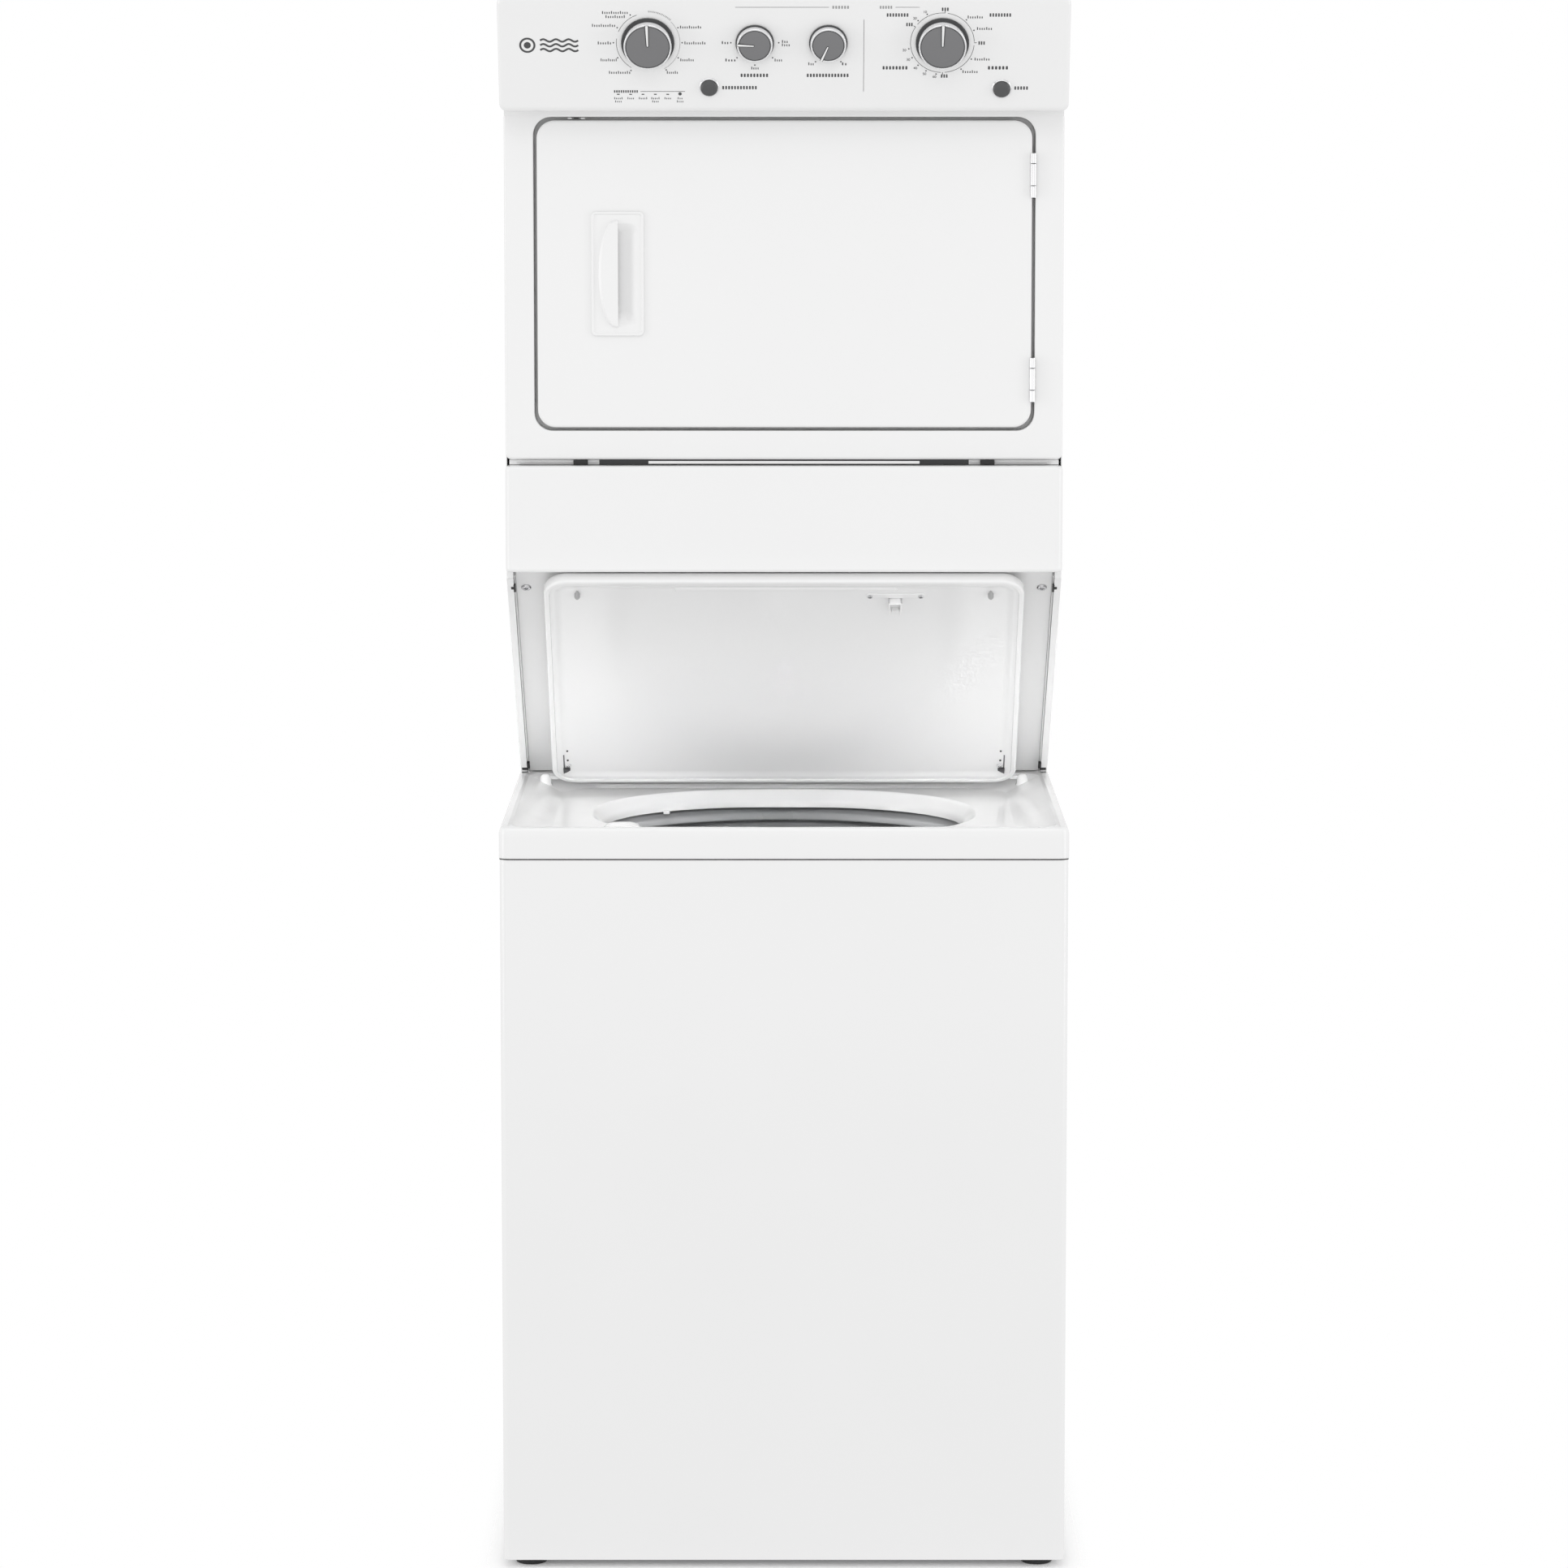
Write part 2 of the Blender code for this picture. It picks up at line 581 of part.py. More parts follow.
def body_panels():
    half = BODY_WIDTH / 2
    outline = (
        (SLOPE_FOOT[0] + 0.008, DECK_TOP + GAP), SLOPE_FOOT, SLOPE_TOP, (SKIN_FRONT, BODY_TOP),
        (BODY_REAR, BODY_TOP), (BODY_REAR, DECK_TOP + GAP),
    )
    side_prism("side_skin_left", outline, -half, -half + SHEET, ENAMEL, smooth=False)
    side_prism("side_skin_right", outline, half - SHEET, half, ENAMEL, smooth=False)
    along = Vector((SLOPE_TOP[0] - SLOPE_FOOT[0], SLOPE_TOP[1] - SLOPE_FOOT[1])).normalized()
    behind = Vector((along.y, -along.x))
    start = Vector(SLOPE_FOOT) + behind * SLANT_INSET

    def on_slope(z, extra):
        base = start + behind * extra
        return tuple(base + along * ((z - base.y) / along.y))

    slant = (
        on_slope(SLANT_LOW, 0), on_slope(SLANT_HIGH, 0),
        on_slope(SLANT_HIGH, SHEET), on_slope(SLANT_LOW, SHEET),
    )
    side_prism("slant_panel", slant, -SLANT_HALF_WIDTH, SLANT_HALF_WIDTH, ENAMEL, smooth=False)

    def wrap(name, face, low, high, back):
        """A panel with its side edges folded back."""
        corner = 0.008
        quarter = CORNER_STEPS + 1
        middle = face + 0.5
        outer = rounded((0, middle), (2 * half, 1.0), corner)
        inner = rounded((0, middle), (2 * (half - SHEET), 1.0 - 2 * SHEET), corner - SHEET)
        outline = [(half, back)] + list(reversed(outer[:quarter]))
        outline += list(reversed(outer[3 * quarter:])) + [(-half, back)]
        outline += [(-half + SHEET, back)] + inner[3 * quarter:]
        outline += inner[:quarter] + [(half - SHEET, back)]
        from_loops(name, [level(low, outline), level(high, outline)], ENAMEL)

    wrap("mid_panel", MID_FRONT, MID_LOW, MID_HIGH, SKIN_FRONT - GAP)
    box(
        "dryer_top_panel",
        (-half, front(SKIN_FRONT), BODY_TOP + GAP), (half, front(BODY_REAR), BODY_TOP + 0.003),
        ENAMEL,
    )
    inside = half - SHEET - GAP
    rear = box(
        "dryer_rear_panel",
        (-inside, front(BODY_REAR - SHEET), DECK_TOP + GAP), (inside, front(BODY_REAR), BODY_TOP),
        ZINC,
    )
    x, z = SIDE_UNIT
    hole = ((DUCT_RADIUS + 0.001, front(BODY_REAR - 0.02)), (DUCT_RADIUS + 0.001, front(BODY_REAR + 0.02)))
    combine(rear, turned("hole", hole, ZINC, axis="y", centre=(x, 0, z), steps=24), "DIFFERENCE")
    bearing = ((0.0135, front(BODY_REAR - 0.02)), (0.0135, front(BODY_REAR + 0.02)))
    combine(rear, turned("hole", bearing, ZINC, axis="y", centre=(0, 0, DRUM_Z), steps=16), "DIFFERENCE")
    box(
        "dryer_base_pan",
        (-inside, front(BULKHEAD + 0.004), PAN_Z), (inside, front(BODY_REAR - SHEET) - GAP, PAN_Z + SHEET),
        ZINC,
    )
    sheet = rounded((0, (PAN_Z + BODY_TOP) / 2), (2 * inside, BODY_TOP - PAN_Z - 0.001), 0.010)
    mouth = rounded(DOOR_CENTRE, OPENING_SIZE, OPENING_CORNER)
    loops = [
        upright(BULKHEAD, sheet), upright(BULKHEAD + SHEET, sheet),
        upright(BULKHEAD + SHEET, mouth), upright(BULKHEAD, mouth),
    ]
    from_loops("front_bulkhead", loops, ENAMEL, ring=True, smooth=False)


def dryer_front():
    """The front panel: folded edges, a recess for the door, and a tunnel to the drum's mouth."""
    centre = (0, (FRONT_LOW + FRONT_HIGH) / 2)
    size = (BODY_WIDTH, FRONT_HIGH - FRONT_LOW)
    back = SKIN_FRONT - GAP
    floor = FRONT_FACE + RECESS_DEPTH

    def panel(inset):
        return rounded(centre, (size[0] - 2 * inset, size[1] - 2 * inset), 0.008 - inset)

    def recess(grow):
        side = 2 * (DOOR_GAP + grow)
        return rounded(DOOR_CENTRE, (DOOR_SIZE[0] + side, DOOR_SIZE[1] + side), DOOR_CORNER + grow)

    def tunnel(grow):
        side = 2 * grow
        return rounded(
            DOOR_CENTRE, (OPENING_SIZE[0] + side, OPENING_SIZE[1] + side), OPENING_CORNER + grow
        )

    loops = [
        upright(back, panel(0)),
        upright(FRONT_FACE + 0.004, panel(0)),
        upright(FRONT_FACE + 0.001, panel(0.001)),
        upright(FRONT_FACE, panel(0.004)),
        upright(FRONT_FACE, recess(0.002)),
        upright(FRONT_FACE + 0.002, recess(0)),
        upright(floor, recess(0)),
        upright(floor, tunnel(0)),
        upright(BULKHEAD - 0.001, tunnel(0)),
        upright(BULKHEAD - 0.001, tunnel(SHEET)),
        upright(floor + SHEET, tunnel(SHEET)),
        upright(floor + SHEET, recess(SHEET)),
        upright(FRONT_FACE + SHEET + 0.001, recess(SHEET)),
        upright(FRONT_FACE + SHEET + 0.001, panel(0.005)),
        upright(back, panel(SHEET)),
    ]
    panel_made = from_loops("dryer_front_panel", loops, ENAMEL, ring=True)
    low = DOOR_CENTRE[1] - OPENING_SIZE[1] / 2
    slot = box(
        "slot", (LINT_X[0] - 0.003, front(0.2105), low - 0.02),
        (LINT_X[1] + 0.003, front(0.2285), low + 0.02), ZINC,
    )
    combine(panel_made, slot, "DIFFERENCE")


def door():
    axis = Vector((HINGE_X, front(HINGE_SETBACK), 0))

    def leaf(inset):
        size = (DOOR_SIZE[0] - 2 * inset, DOOR_SIZE[1] - 2 * inset)
        return rounded(DOOR_CENTRE, size, DOOR_CORNER - inset)

    def cup(grow):
        size = (HANDLE_SIZE[0] - 0.008 + 2 * grow, HANDLE_SIZE[1] - 0.008 + 2 * grow)
        return rounded(HANDLE_CENTRE, size, 0.005 + grow)

    loops = [
        upright(DOOR_BACK, leaf(0)),
        upright(DOOR_FRONT + 0.003, leaf(0)),
        upright(DOOR_FRONT + 0.0008, leaf(0.0008)),
        upright(DOOR_FRONT, leaf(0.003)),
        upright(DOOR_FRONT, cup(0)),
        upright(DOOR_FRONT + DOOR_SKIN, cup(0)),
        upright(DOOR_FRONT + DOOR_SKIN, leaf(0.004)),
        upright(DOOR_BACK, leaf(DOOR_SKIN)),
    ]
    outer = from_loops("door_outer", loops, ENAMEL, ring=True, origin=axis)
    for low, high in HINGE_SPANS:
        cut = ((HINGE_RADIUS + 0.0006, low - 0.001), (HINGE_RADIUS + 0.0006, high + 0.001))
        combine(outer, turned("cut", cut, ZINC, centre=axis, steps=16), "DIFFERENCE")

    plug = rounded(DOOR_CENTRE, PLUG_SIZE, 0.045)
    plug_end = rounded(DOOR_CENTRE, (PLUG_SIZE[0] - 0.016, PLUG_SIZE[1] - 0.016), 0.037)
    loops = [
        upright(DOOR_BACK - 0.0020, leaf(0.0030)),
        upright(DOOR_BACK, leaf(0.0030)),
        upright(DOOR_BACK, plug),
        upright(PLUG_BACK - 0.003, plug),
        upright(PLUG_BACK, plug_end),
    ]
    from_loops("door_inner", loops, WHITE_PLASTIC, origin=axis)
    seal_size = (PLUG_SIZE[0] + 0.060, PLUG_SIZE[1] + 0.060)
    seal = [rounded(DOOR_CENTRE, tuple(s + grow for s in seal_size), 0.055) for grow in (0, 0.014)]
    low, high = DOOR_BACK + GAP, FRONT_FACE + RECESS_DEPTH - FIT
    loops = [upright(low, seal[0]), upright(low, seal[1]), upright(high, seal[1]), upright(high, seal[0])]
    from_loops("door_seal", loops, RUBBER, ring=True, origin=axis)

    def frame(inset):
        size = (HANDLE_SIZE[0] - 2 * inset, HANDLE_SIZE[1] - 2 * inset)
        return rounded(HANDLE_CENTRE, size, 0.006)

    face = DOOR_FRONT - 0.0012
    loops = [
        upright(DOOR_FRONT + HANDLE_DEPTH, frame(0.0055)),
        upright(DOOR_FRONT - GAP, frame(0.0055)),
        upright(DOOR_FRONT - GAP, frame(0)),
        upright(face, frame(0.0008)),
        upright(face, frame(0.0075)),
        upright(DOOR_FRONT + HANDLE_DEPTH - 0.002, frame(0.0095)),
    ]
    handle = from_loops("door_handle", loops, WHITE_PLASTIC, origin=axis)
    grip_x, middle = HANDLE_CENTRE
    reach, tall = 0.0265, 0.064
    arc = [
        (grip_x - reach * math.sin(math.pi * i / 12), middle + tall * math.cos(math.pi * i / 12))
        for i in range(13)
    ]
    grip = from_loops("grip", [upright(face + 0.0002, arc), upright(face + 0.004, arc)], WHITE_PLASTIC)
    combine(handle, grip, "UNION")

    for name, (low, high) in zip(("lower", "upper"), HINGE_SPANS):
        stem = 0.0006
        start = math.asin(stem / HINGE_RADIUS)
        barrel = []
        for i in range(15):
            angle = math.pi / 2 + start + (2 * math.pi - 2 * start) * i / 14
            barrel.append((HINGE_RADIUS * math.cos(angle), HINGE_RADIUS * math.sin(angle)))
        root = front(FRONT_FACE + RECESS_DEPTH) - GAP - axis.y
        outline = barrel + [(stem, root), (-stem, root)]
        loops = [[(axis.x + a, axis.y + b, z) for a, b in outline] for z in (low, high)]
        from_loops(f"door_hinge_{name}", loops, STEEL)


def drum():
    """A cup open to the front, with three vanes pressed into its wall and a stub shaft behind."""
    steps = 48
    wall = 0.003

    def ring(radius, setback, vane=0.0):
        loop = []
        for i in range(steps):
            angle = 2 * math.pi * i / steps
            lobe = max(0.0, math.cos(3 * angle - math.pi / 2)) ** 6
            r = radius - vane * lobe
            loop.append((r * math.cos(angle), front(setback), DRUM_Z + r * math.sin(angle)))
        return loop

    inside = DRUM_RADIUS - wall
    loops = [
        ring(0.012, BODY_REAR - 0.002), ring(0.012, DRUM_BACK + 0.001), ring(0.12, DRUM_BACK),
        ring(DRUM_RADIUS - 0.012, DRUM_BACK), ring(DRUM_RADIUS, DRUM_BACK - 0.012),
        ring(DRUM_RADIUS, DRUM_FRONT), ring(DRUM_RADIUS - 0.014, DRUM_FRONT),
        ring(inside - 0.012, DRUM_FRONT + wall), ring(inside, DRUM_FRONT + 0.010),
        ring(inside, DRUM_FRONT + 0.07), ring(inside, DRUM_FRONT + 0.10, 0.055),
        ring(inside, DRUM_BACK - 0.09, 0.055), ring(inside, DRUM_BACK - 0.05),
        ring(inside, DRUM_BACK - 0.014), ring(inside - 0.012, DRUM_BACK - wall),
    ]
    axis = (0, front(DRUM_BACK), DRUM_Z)
    from_loops("dryer_drum", loops, ENAMEL, origin=axis)
    x, z = SIDE_UNIT
    circles = ((0, DRUM_Z, DRUM_RADIUS), (-x, z, 0.012))
    inner, outer = (tangent_hull(*circles, grow) for grow in (FIT, FIT + 0.002))
    near, far = BELT_SETBACKS
    loops = [upright(near, outer), upright(far, outer), upright(far, inner), upright(near, inner)]
    from_loops("drum_belt", loops, RUBBER, ring=True)


def dryer_units():
    x, z = SIDE_UNIT
    motor = (
        (0.012, 0.385), (0.012, 0.440), (0.040, 0.442), (0.050, 0.450), (0.050, 0.500),
        (0.046, 0.502), (0.046, 0.560), (0.050, 0.562), (0.050, 0.600), (0.040, 0.610),
    )
    profile = [(r, front(setback)) for r, setback in motor]
    turned("dryer_motor", profile, STEEL, axis="y", centre=(-x, 0, z), steps=20)
    blower = (
        (0.050, 0.2370), (0.0575, 0.240), (0.0575, 0.296), (0.050, 0.2995),
    )
    profile = [(r, front(setback)) for r, setback in blower]
    turned("blower_housing", profile, ZINC, axis="y", centre=(x + 0.014, 0, z), steps=24)
    duct = (
        (DUCT_RADIUS, 0.300), (DUCT_RADIUS, DEPTH), (DUCT_RADIUS - 0.0015, DEPTH),
        (DUCT_RADIUS - 0.0015, 0.300),
    )
    profile = [(r, front(setback)) for r, setback in duct]
    turned("exhaust_duct", profile, ZINC, axis="y", centre=(x, 0, z), steps=24, ring=True)
    box(
        "heater_box", (-0.333, front(0.640), PAN_Z + SHEET + GAP), (-0.215, front(0.790), 1.334), ZINC,
    )
    low = DOOR_CENTRE[1] - OPENING_SIZE[1] / 2 - SHEET - GAP
    x0, x1 = LINT_X
    outer = [(x0 - 0.008, 0.2065), (x1 + 0.008, 0.2065), (x1 + 0.008, 0.2320), (x0 - 0.008, 0.2320)]
    inner = [(x0 - 0.002, 0.2100), (x1 + 0.002, 0.2100), (x1 + 0.002, 0.2290), (x0 - 0.002, 0.2290)]
    loops = [level(LINT_Z[0] - 0.010, outer), level(low, outer), level(low, inner)]
    loops.append(level(LINT_Z[0] - 0.004, inner))
    from_loops("lint_duct", loops, WHITE_PLASTIC, smooth=False)


def lint_screen():
    near, far = LINT_SETBACKS
    low, high = LINT_Z
    middle = (near + far) / 2
    outline = (
        (near, low), (far, low), (far, high - 0.008), (middle + 0.007, high - 0.006),
        (middle + 0.007, high), (middle - 0.007, high), (middle - 0.007, high - 0.006),
        (near, high - 0.008),
    )
    origin = (sum(LINT_X) / 2, front(middle), low)
    side_prism("lint_screen", outline, *LINT_X, GREY_PLASTIC, origin=origin, smooth=False)


# ---- Console ----


def face_setback(z):
    return CONSOLE_FOOT - (z - CONSOLE_LOW) * math.tan(CONSOLE_LEAN)


def console():
    centre = (0, (CONSOLE_LOW + HEIGHT) / 2)
    size = (WIDTH, HEIGHT - CONSOLE_LOW)

    def edge(inset, corner):
        return rounded(centre, (size[0] - 2 * inset, size[1] - 2 * inset), corner)

    def lean(inset, corner, behind):
        return [(x, front(face_setback(z) + behind), z) for x, z in edge(inset, corner)]

    thick = 0.003
    loops = [
        lean(thick, 0.005, thick),
        upright(CONSOLE_BACK, edge(thick, 0.005)),
        upright(CONSOLE_BACK, edge(0, 0.008)),
        lean(0, 0.008, 0.004),
        lean(0.0012, 0.008, 0.0012),
        lean(0.004, 0.007, 0),
    ]
    shell = from_loops("console_shell", loops, ENAMEL)
    turn = math.pi / 2 + CONSOLE_LEAN
    holes = [(x, KNOB_Z, KNOB_SHAFT + 0.0008) for x, _ in KNOBS.values()]
    holes += [(x, z, BUTTON_RADIUS + 0.0006) for x, z in BUTTONS.values()]
    for x, z, radius in holes:
        loops = [[(a, b, along) for a, b in circle(radius, 20)] for along in (-0.02, 0.02)]
        cutter = from_loops("cutter", loops, ZINC, turn=(turn, 0, 0))
        cutter.location = (x, front(face_setback(z)), z)
        combine(shell, cutter, "DIFFERENCE")


def controls():
    """Each knob and button is turned about its own z, which then points out of the console's face."""
    turn = (math.pi / 2 + CONSOLE_LEAN, 0, 0)
    for name, (x, shape) in KNOBS.items():
        radius, skirt, height = shape["radius"], shape["skirt"], shape["height"]
        profile = (
            (KNOB_SHAFT, -0.010), (KNOB_SHAFT, 0.0006), (skirt, 0.0006), (skirt, 0.0030),
            (radius + 0.0004, 0.0045), (radius, height - 0.0012), (radius - 0.0014, height),
        )
        knob = turned(name, profile, GREY_PLASTIC)
        knob.rotation_euler = turn
        knob.location = (x, front(face_setback(KNOB_Z)), KNOB_Z)
    for name, (x, z) in BUTTONS.items():
        profile = (
            (BUTTON_RADIUS - 0.001, -0.006), (BUTTON_RADIUS, -0.005), (BUTTON_RADIUS, 0.0020),
            (BUTTON_RADIUS - 0.0016, 0.0042), (BUTTON_RADIUS * 0.5, 0.0052),
        )
        button = turned(name, profile, GREY_PLASTIC, steps=24)
        button.rotation_euler = turn
        button.location = (x, front(face_setback(z)), z)


def main():
    for old in list(bpy.data.objects):
        bpy.data.objects.remove(old)
    washer_shell()
    feet()
    washer_top()
    tub_parts()
    washer_drive()
    wash_basket()
    agitator()
    lid()
    water_valve()
    body_panels()
    dryer_front()
    door()
    drum()
    dryer_units()
    lint_screen()
    console()
    controls()


main()
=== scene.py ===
"""Looks of the stacked washer and dryer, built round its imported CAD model.

Metres, +Z up, front towards -Y. A setback is a distance behind the washer's front face. A shape that
isn't given a frame of its own has its points as (x, setback, z).
"""

import json
import math
from functools import partial

import bmesh
import bpy
from mathutils import Matrix, Vector


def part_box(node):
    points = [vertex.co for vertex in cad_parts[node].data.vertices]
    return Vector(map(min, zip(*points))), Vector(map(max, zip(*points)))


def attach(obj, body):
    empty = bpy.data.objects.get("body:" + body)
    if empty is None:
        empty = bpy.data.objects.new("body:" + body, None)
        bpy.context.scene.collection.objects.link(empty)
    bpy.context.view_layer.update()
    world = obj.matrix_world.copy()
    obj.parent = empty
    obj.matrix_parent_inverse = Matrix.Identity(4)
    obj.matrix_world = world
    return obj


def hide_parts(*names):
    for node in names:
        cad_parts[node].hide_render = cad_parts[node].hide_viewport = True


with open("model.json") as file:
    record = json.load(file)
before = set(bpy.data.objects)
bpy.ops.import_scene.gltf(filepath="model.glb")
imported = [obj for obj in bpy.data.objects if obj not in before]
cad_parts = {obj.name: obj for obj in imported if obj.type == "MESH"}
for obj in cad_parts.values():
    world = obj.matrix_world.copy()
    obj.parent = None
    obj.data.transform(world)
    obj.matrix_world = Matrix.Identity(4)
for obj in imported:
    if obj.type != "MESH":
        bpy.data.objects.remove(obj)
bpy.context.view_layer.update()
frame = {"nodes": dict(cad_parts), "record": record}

# ---- Sizes shared with the CAD ----

FRONT_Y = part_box("washer_top_deck")[0].y
REST = 0.0003  # kept between a detail and what it is fixed to
SHEET = 0.0016  # how thick the panels are drawn
SIDES = (("left", -1), ("right", 1))
QUARTER = math.pi / 2

WASHER_DEPTH = 0.745
TUB_SETBACK = 0.3

LID_LENGTH = 0.46
LID_HALF_WIDTH = (0.3006, 0.2971)  # at its rear and at its front
LID_THICK = 0.016
LID_OPEN = math.radians(40)
LID_PIN = (0.517, 0.915)  # setback and height
LID_PIN_OFFSET = (0.005, 0.006)  # from the lid's rear edge, and above its rim

SLOPE_TOP = Vector((0.187, 1.205))  # setback and height of the side panels' sloping edge
SLOPE_FOOT = Vector((0.543, 0.925))
UP_SLOPE = (SLOPE_TOP - SLOPE_FOOT).normalized()
SLANT_INSET = 0.012

MID_FRONT = 0.16
FRONT_FACE = 0.176
SKIN_FRONT = 0.187
RECESS_FLOOR = 0.196
DOOR_CENTRE = (0.0005, 1.5805)
DOOR_SIZE = (0.6066, 0.3755)
DOOR_CORNER = 0.022
DOOR_FACE, DOOR_BACK = 0.174, 0.1915
OPENING_SIZE = (0.46, 0.31)
HINGE_X, HINGE_SETBACK = 0.3052, 0.172
HINGE_SPANS = {"lower": (1.424, 1.479), "upper": (1.674, 1.729)}
HANDLE_CENTRE = (-0.204, 1.5815)
HANDLE_SIZE = (0.065, 0.152)
DRUM_Z, DRUM_BACK = 1.575, 0.735

CONSOLE_LOW = 1.78
CONSOLE_FOOT, CONSOLE_BACK = 0.134, 0.1865
CONSOLE_LEAN = math.radians(22.1)
KNOB_Z = 1.8625
KNOB_X = (-0.1645, -0.0353, 0.0535, 0.1912)

AMBIENT = 0.84


def front(setback):
    return FRONT_Y + setback


# ---- Materials ----


def fill(node, **values):
    """Sets a node's sockets by name, with _ for a space."""
    for name, value in values.items():
        node.inputs[name.replace("_", " ")].default_value = value
    return node


def add_node(tree, kind, **values):
    return fill(tree.nodes.new(kind), **values)


def mix(tree, factor, **ends):
    """Mixes the colours A and B."""
    node = tree.nodes.new("ShaderNodeMix")
    node.data_type = "RGBA"
    fill(node, **ends)
    tree.links.new(factor, node.inputs["Factor"])
    return node


def compute(tree, kind, operation, *values):
    """A Math or a VectorMath node, whose values are sockets or constants."""
    node = tree.nodes.new(f"ShaderNode{kind}")
    node.operation = operation
    for socket, value in zip(node.inputs, values):
        if isinstance(value, bpy.types.NodeSocket):
            tree.links.new(value, socket)
        else:
            socket.default_value = value
    return node.outputs["Value" if kind == "Math" or operation == "LENGTH" else "Vector"]


def noise(tree, where, scale, detail=2.0):
    node = add_node(tree, "ShaderNodeTexNoise", Scale=scale, Detail=detail)
    tree.links.new(where, node.inputs["Vector"])
    return node.outputs["Fac"]


def spread(tree, value, low, high):
    """Maps a noise value, which stays near a half, to the range from low to high."""
    node = add_node(tree, "ShaderNodeMapRange", From_Min=0.3, From_Max=0.7, To_Min=low, To_Max=high)
    tree.links.new(value, node.inputs["Value"])
    return node.outputs["Result"]


def look(name, colour, roughness, metallic=0, grain=900.0, relief=0.00002, stretch=(1, 1, 1), tone=0.02,
         rough_tone=0.05, ripple=0):
    """A surface whose tone and gloss drift a little, with a fine relief. The colour is one number where it
    is a grey, grain is the relief's scale per metre, and ripple the height of sheet metal's slow waves."""
    colour = colour if isinstance(colour, tuple) else (colour,) * 3
    material = bpy.data.materials.new(name)
    material.use_nodes = True
    tree = material.node_tree
    link = tree.links.new
    shader = fill(tree.nodes["Principled BSDF"], Metallic=metallic)
    place = tree.nodes.new("ShaderNodeTexCoord").outputs["Object"]
    scaled = add_node(tree, "ShaderNodeMapping", Scale=stretch)
    link(place, scaled.inputs["Vector"])
    fine = noise(tree, scaled.outputs["Vector"], grain)
    slow = noise(tree, place, 6.0, 4.0)
    darker = (*[c * (1 - tone) for c in colour], 1)
    lighter = (*[min(1, c * (1 + tone)) for c in colour], 1)
    shade = mix(tree, spread(tree, slow, 0, 1), A=darker, B=lighter)
    link(shade.outputs["Result"], shader.inputs["Base Color"])
    gloss = spread(tree, fine if metallic else slow, roughness - rough_tone, roughness + rough_tone)
    link(gloss, shader.inputs["Roughness"])
    bump = add_node(tree, "ShaderNodeBump", Strength=1, Distance=relief)
    link(fine, bump.inputs["Height"])
    if ripple:
        wave = add_node(tree, "ShaderNodeBump", Strength=1, Distance=ripple)
        link(noise(tree, place, 3.5, 1), wave.inputs["Height"])
        link(wave.outputs["Normal"], bump.inputs["Normal"])
    link(bump.outputs["Normal"], shader.inputs["Normal"])
    return material


def perforate(material, pitch_round=0.026, pitch_up=0.02, hole=0.0024):
    """Adds rows of round holes to the wash basket's wall, painted near black: painted shade standing for
    the dark inside of each hole.
    """
    tree = material.node_tree
    link = tree.links.new
    shader = tree.nodes["Principled BSDF"]
    parts = tree.nodes.new("ShaderNodeSeparateXYZ")
    link(tree.nodes.new("ShaderNodeTexCoord").outputs["Object"], parts.inputs["Vector"])
    maths = partial(compute, tree, "Math")

    def length(x, y):
        return maths("SQRT", maths("ADD", maths("MULTIPLY", x, x), maths("MULTIPLY", y, y)))

    x, y = parts.outputs["X"], maths("SUBTRACT", parts.outputs["Y"], front(TUB_SETBACK))
    turns = maths("DIVIDE", maths("ARCTAN2", y, x), 2 * math.pi)
    column = maths("MULTIPLY", turns, round(2 * math.pi * 0.255 / pitch_round))
    row = maths("DIVIDE", parts.outputs["Z"], pitch_up)
    shift = maths("MULTIPLY", maths("FLOOR", maths("MODULO", maths("ADD", row, 1000.0), 2.0)), 0.5)
    across = maths("SUBTRACT", maths("FRACT", maths("ADD", maths("ADD", column, shift), 1000.0)), 0.5)
    along = maths("SUBTRACT", maths("FRACT", row), 0.5)
    distance = length(maths("MULTIPLY", across, pitch_round), maths("MULTIPLY", along, pitch_up))
    wall = maths("GREATER_THAN", length(x, y), 0.245)
    # The holes' near-black colour is painted shade, standing for the dark inside of each hole.
    dark = mix(tree, maths("MULTIPLY", maths("LESS_THAN", distance, hole), wall), B=(0.01, 0.01, 0.01, 1))
    link(shader.inputs["Base Color"].links[0].from_socket, dark.inputs["A"])
    link(dark.outputs["Result"], shader.inputs["Base Color"])


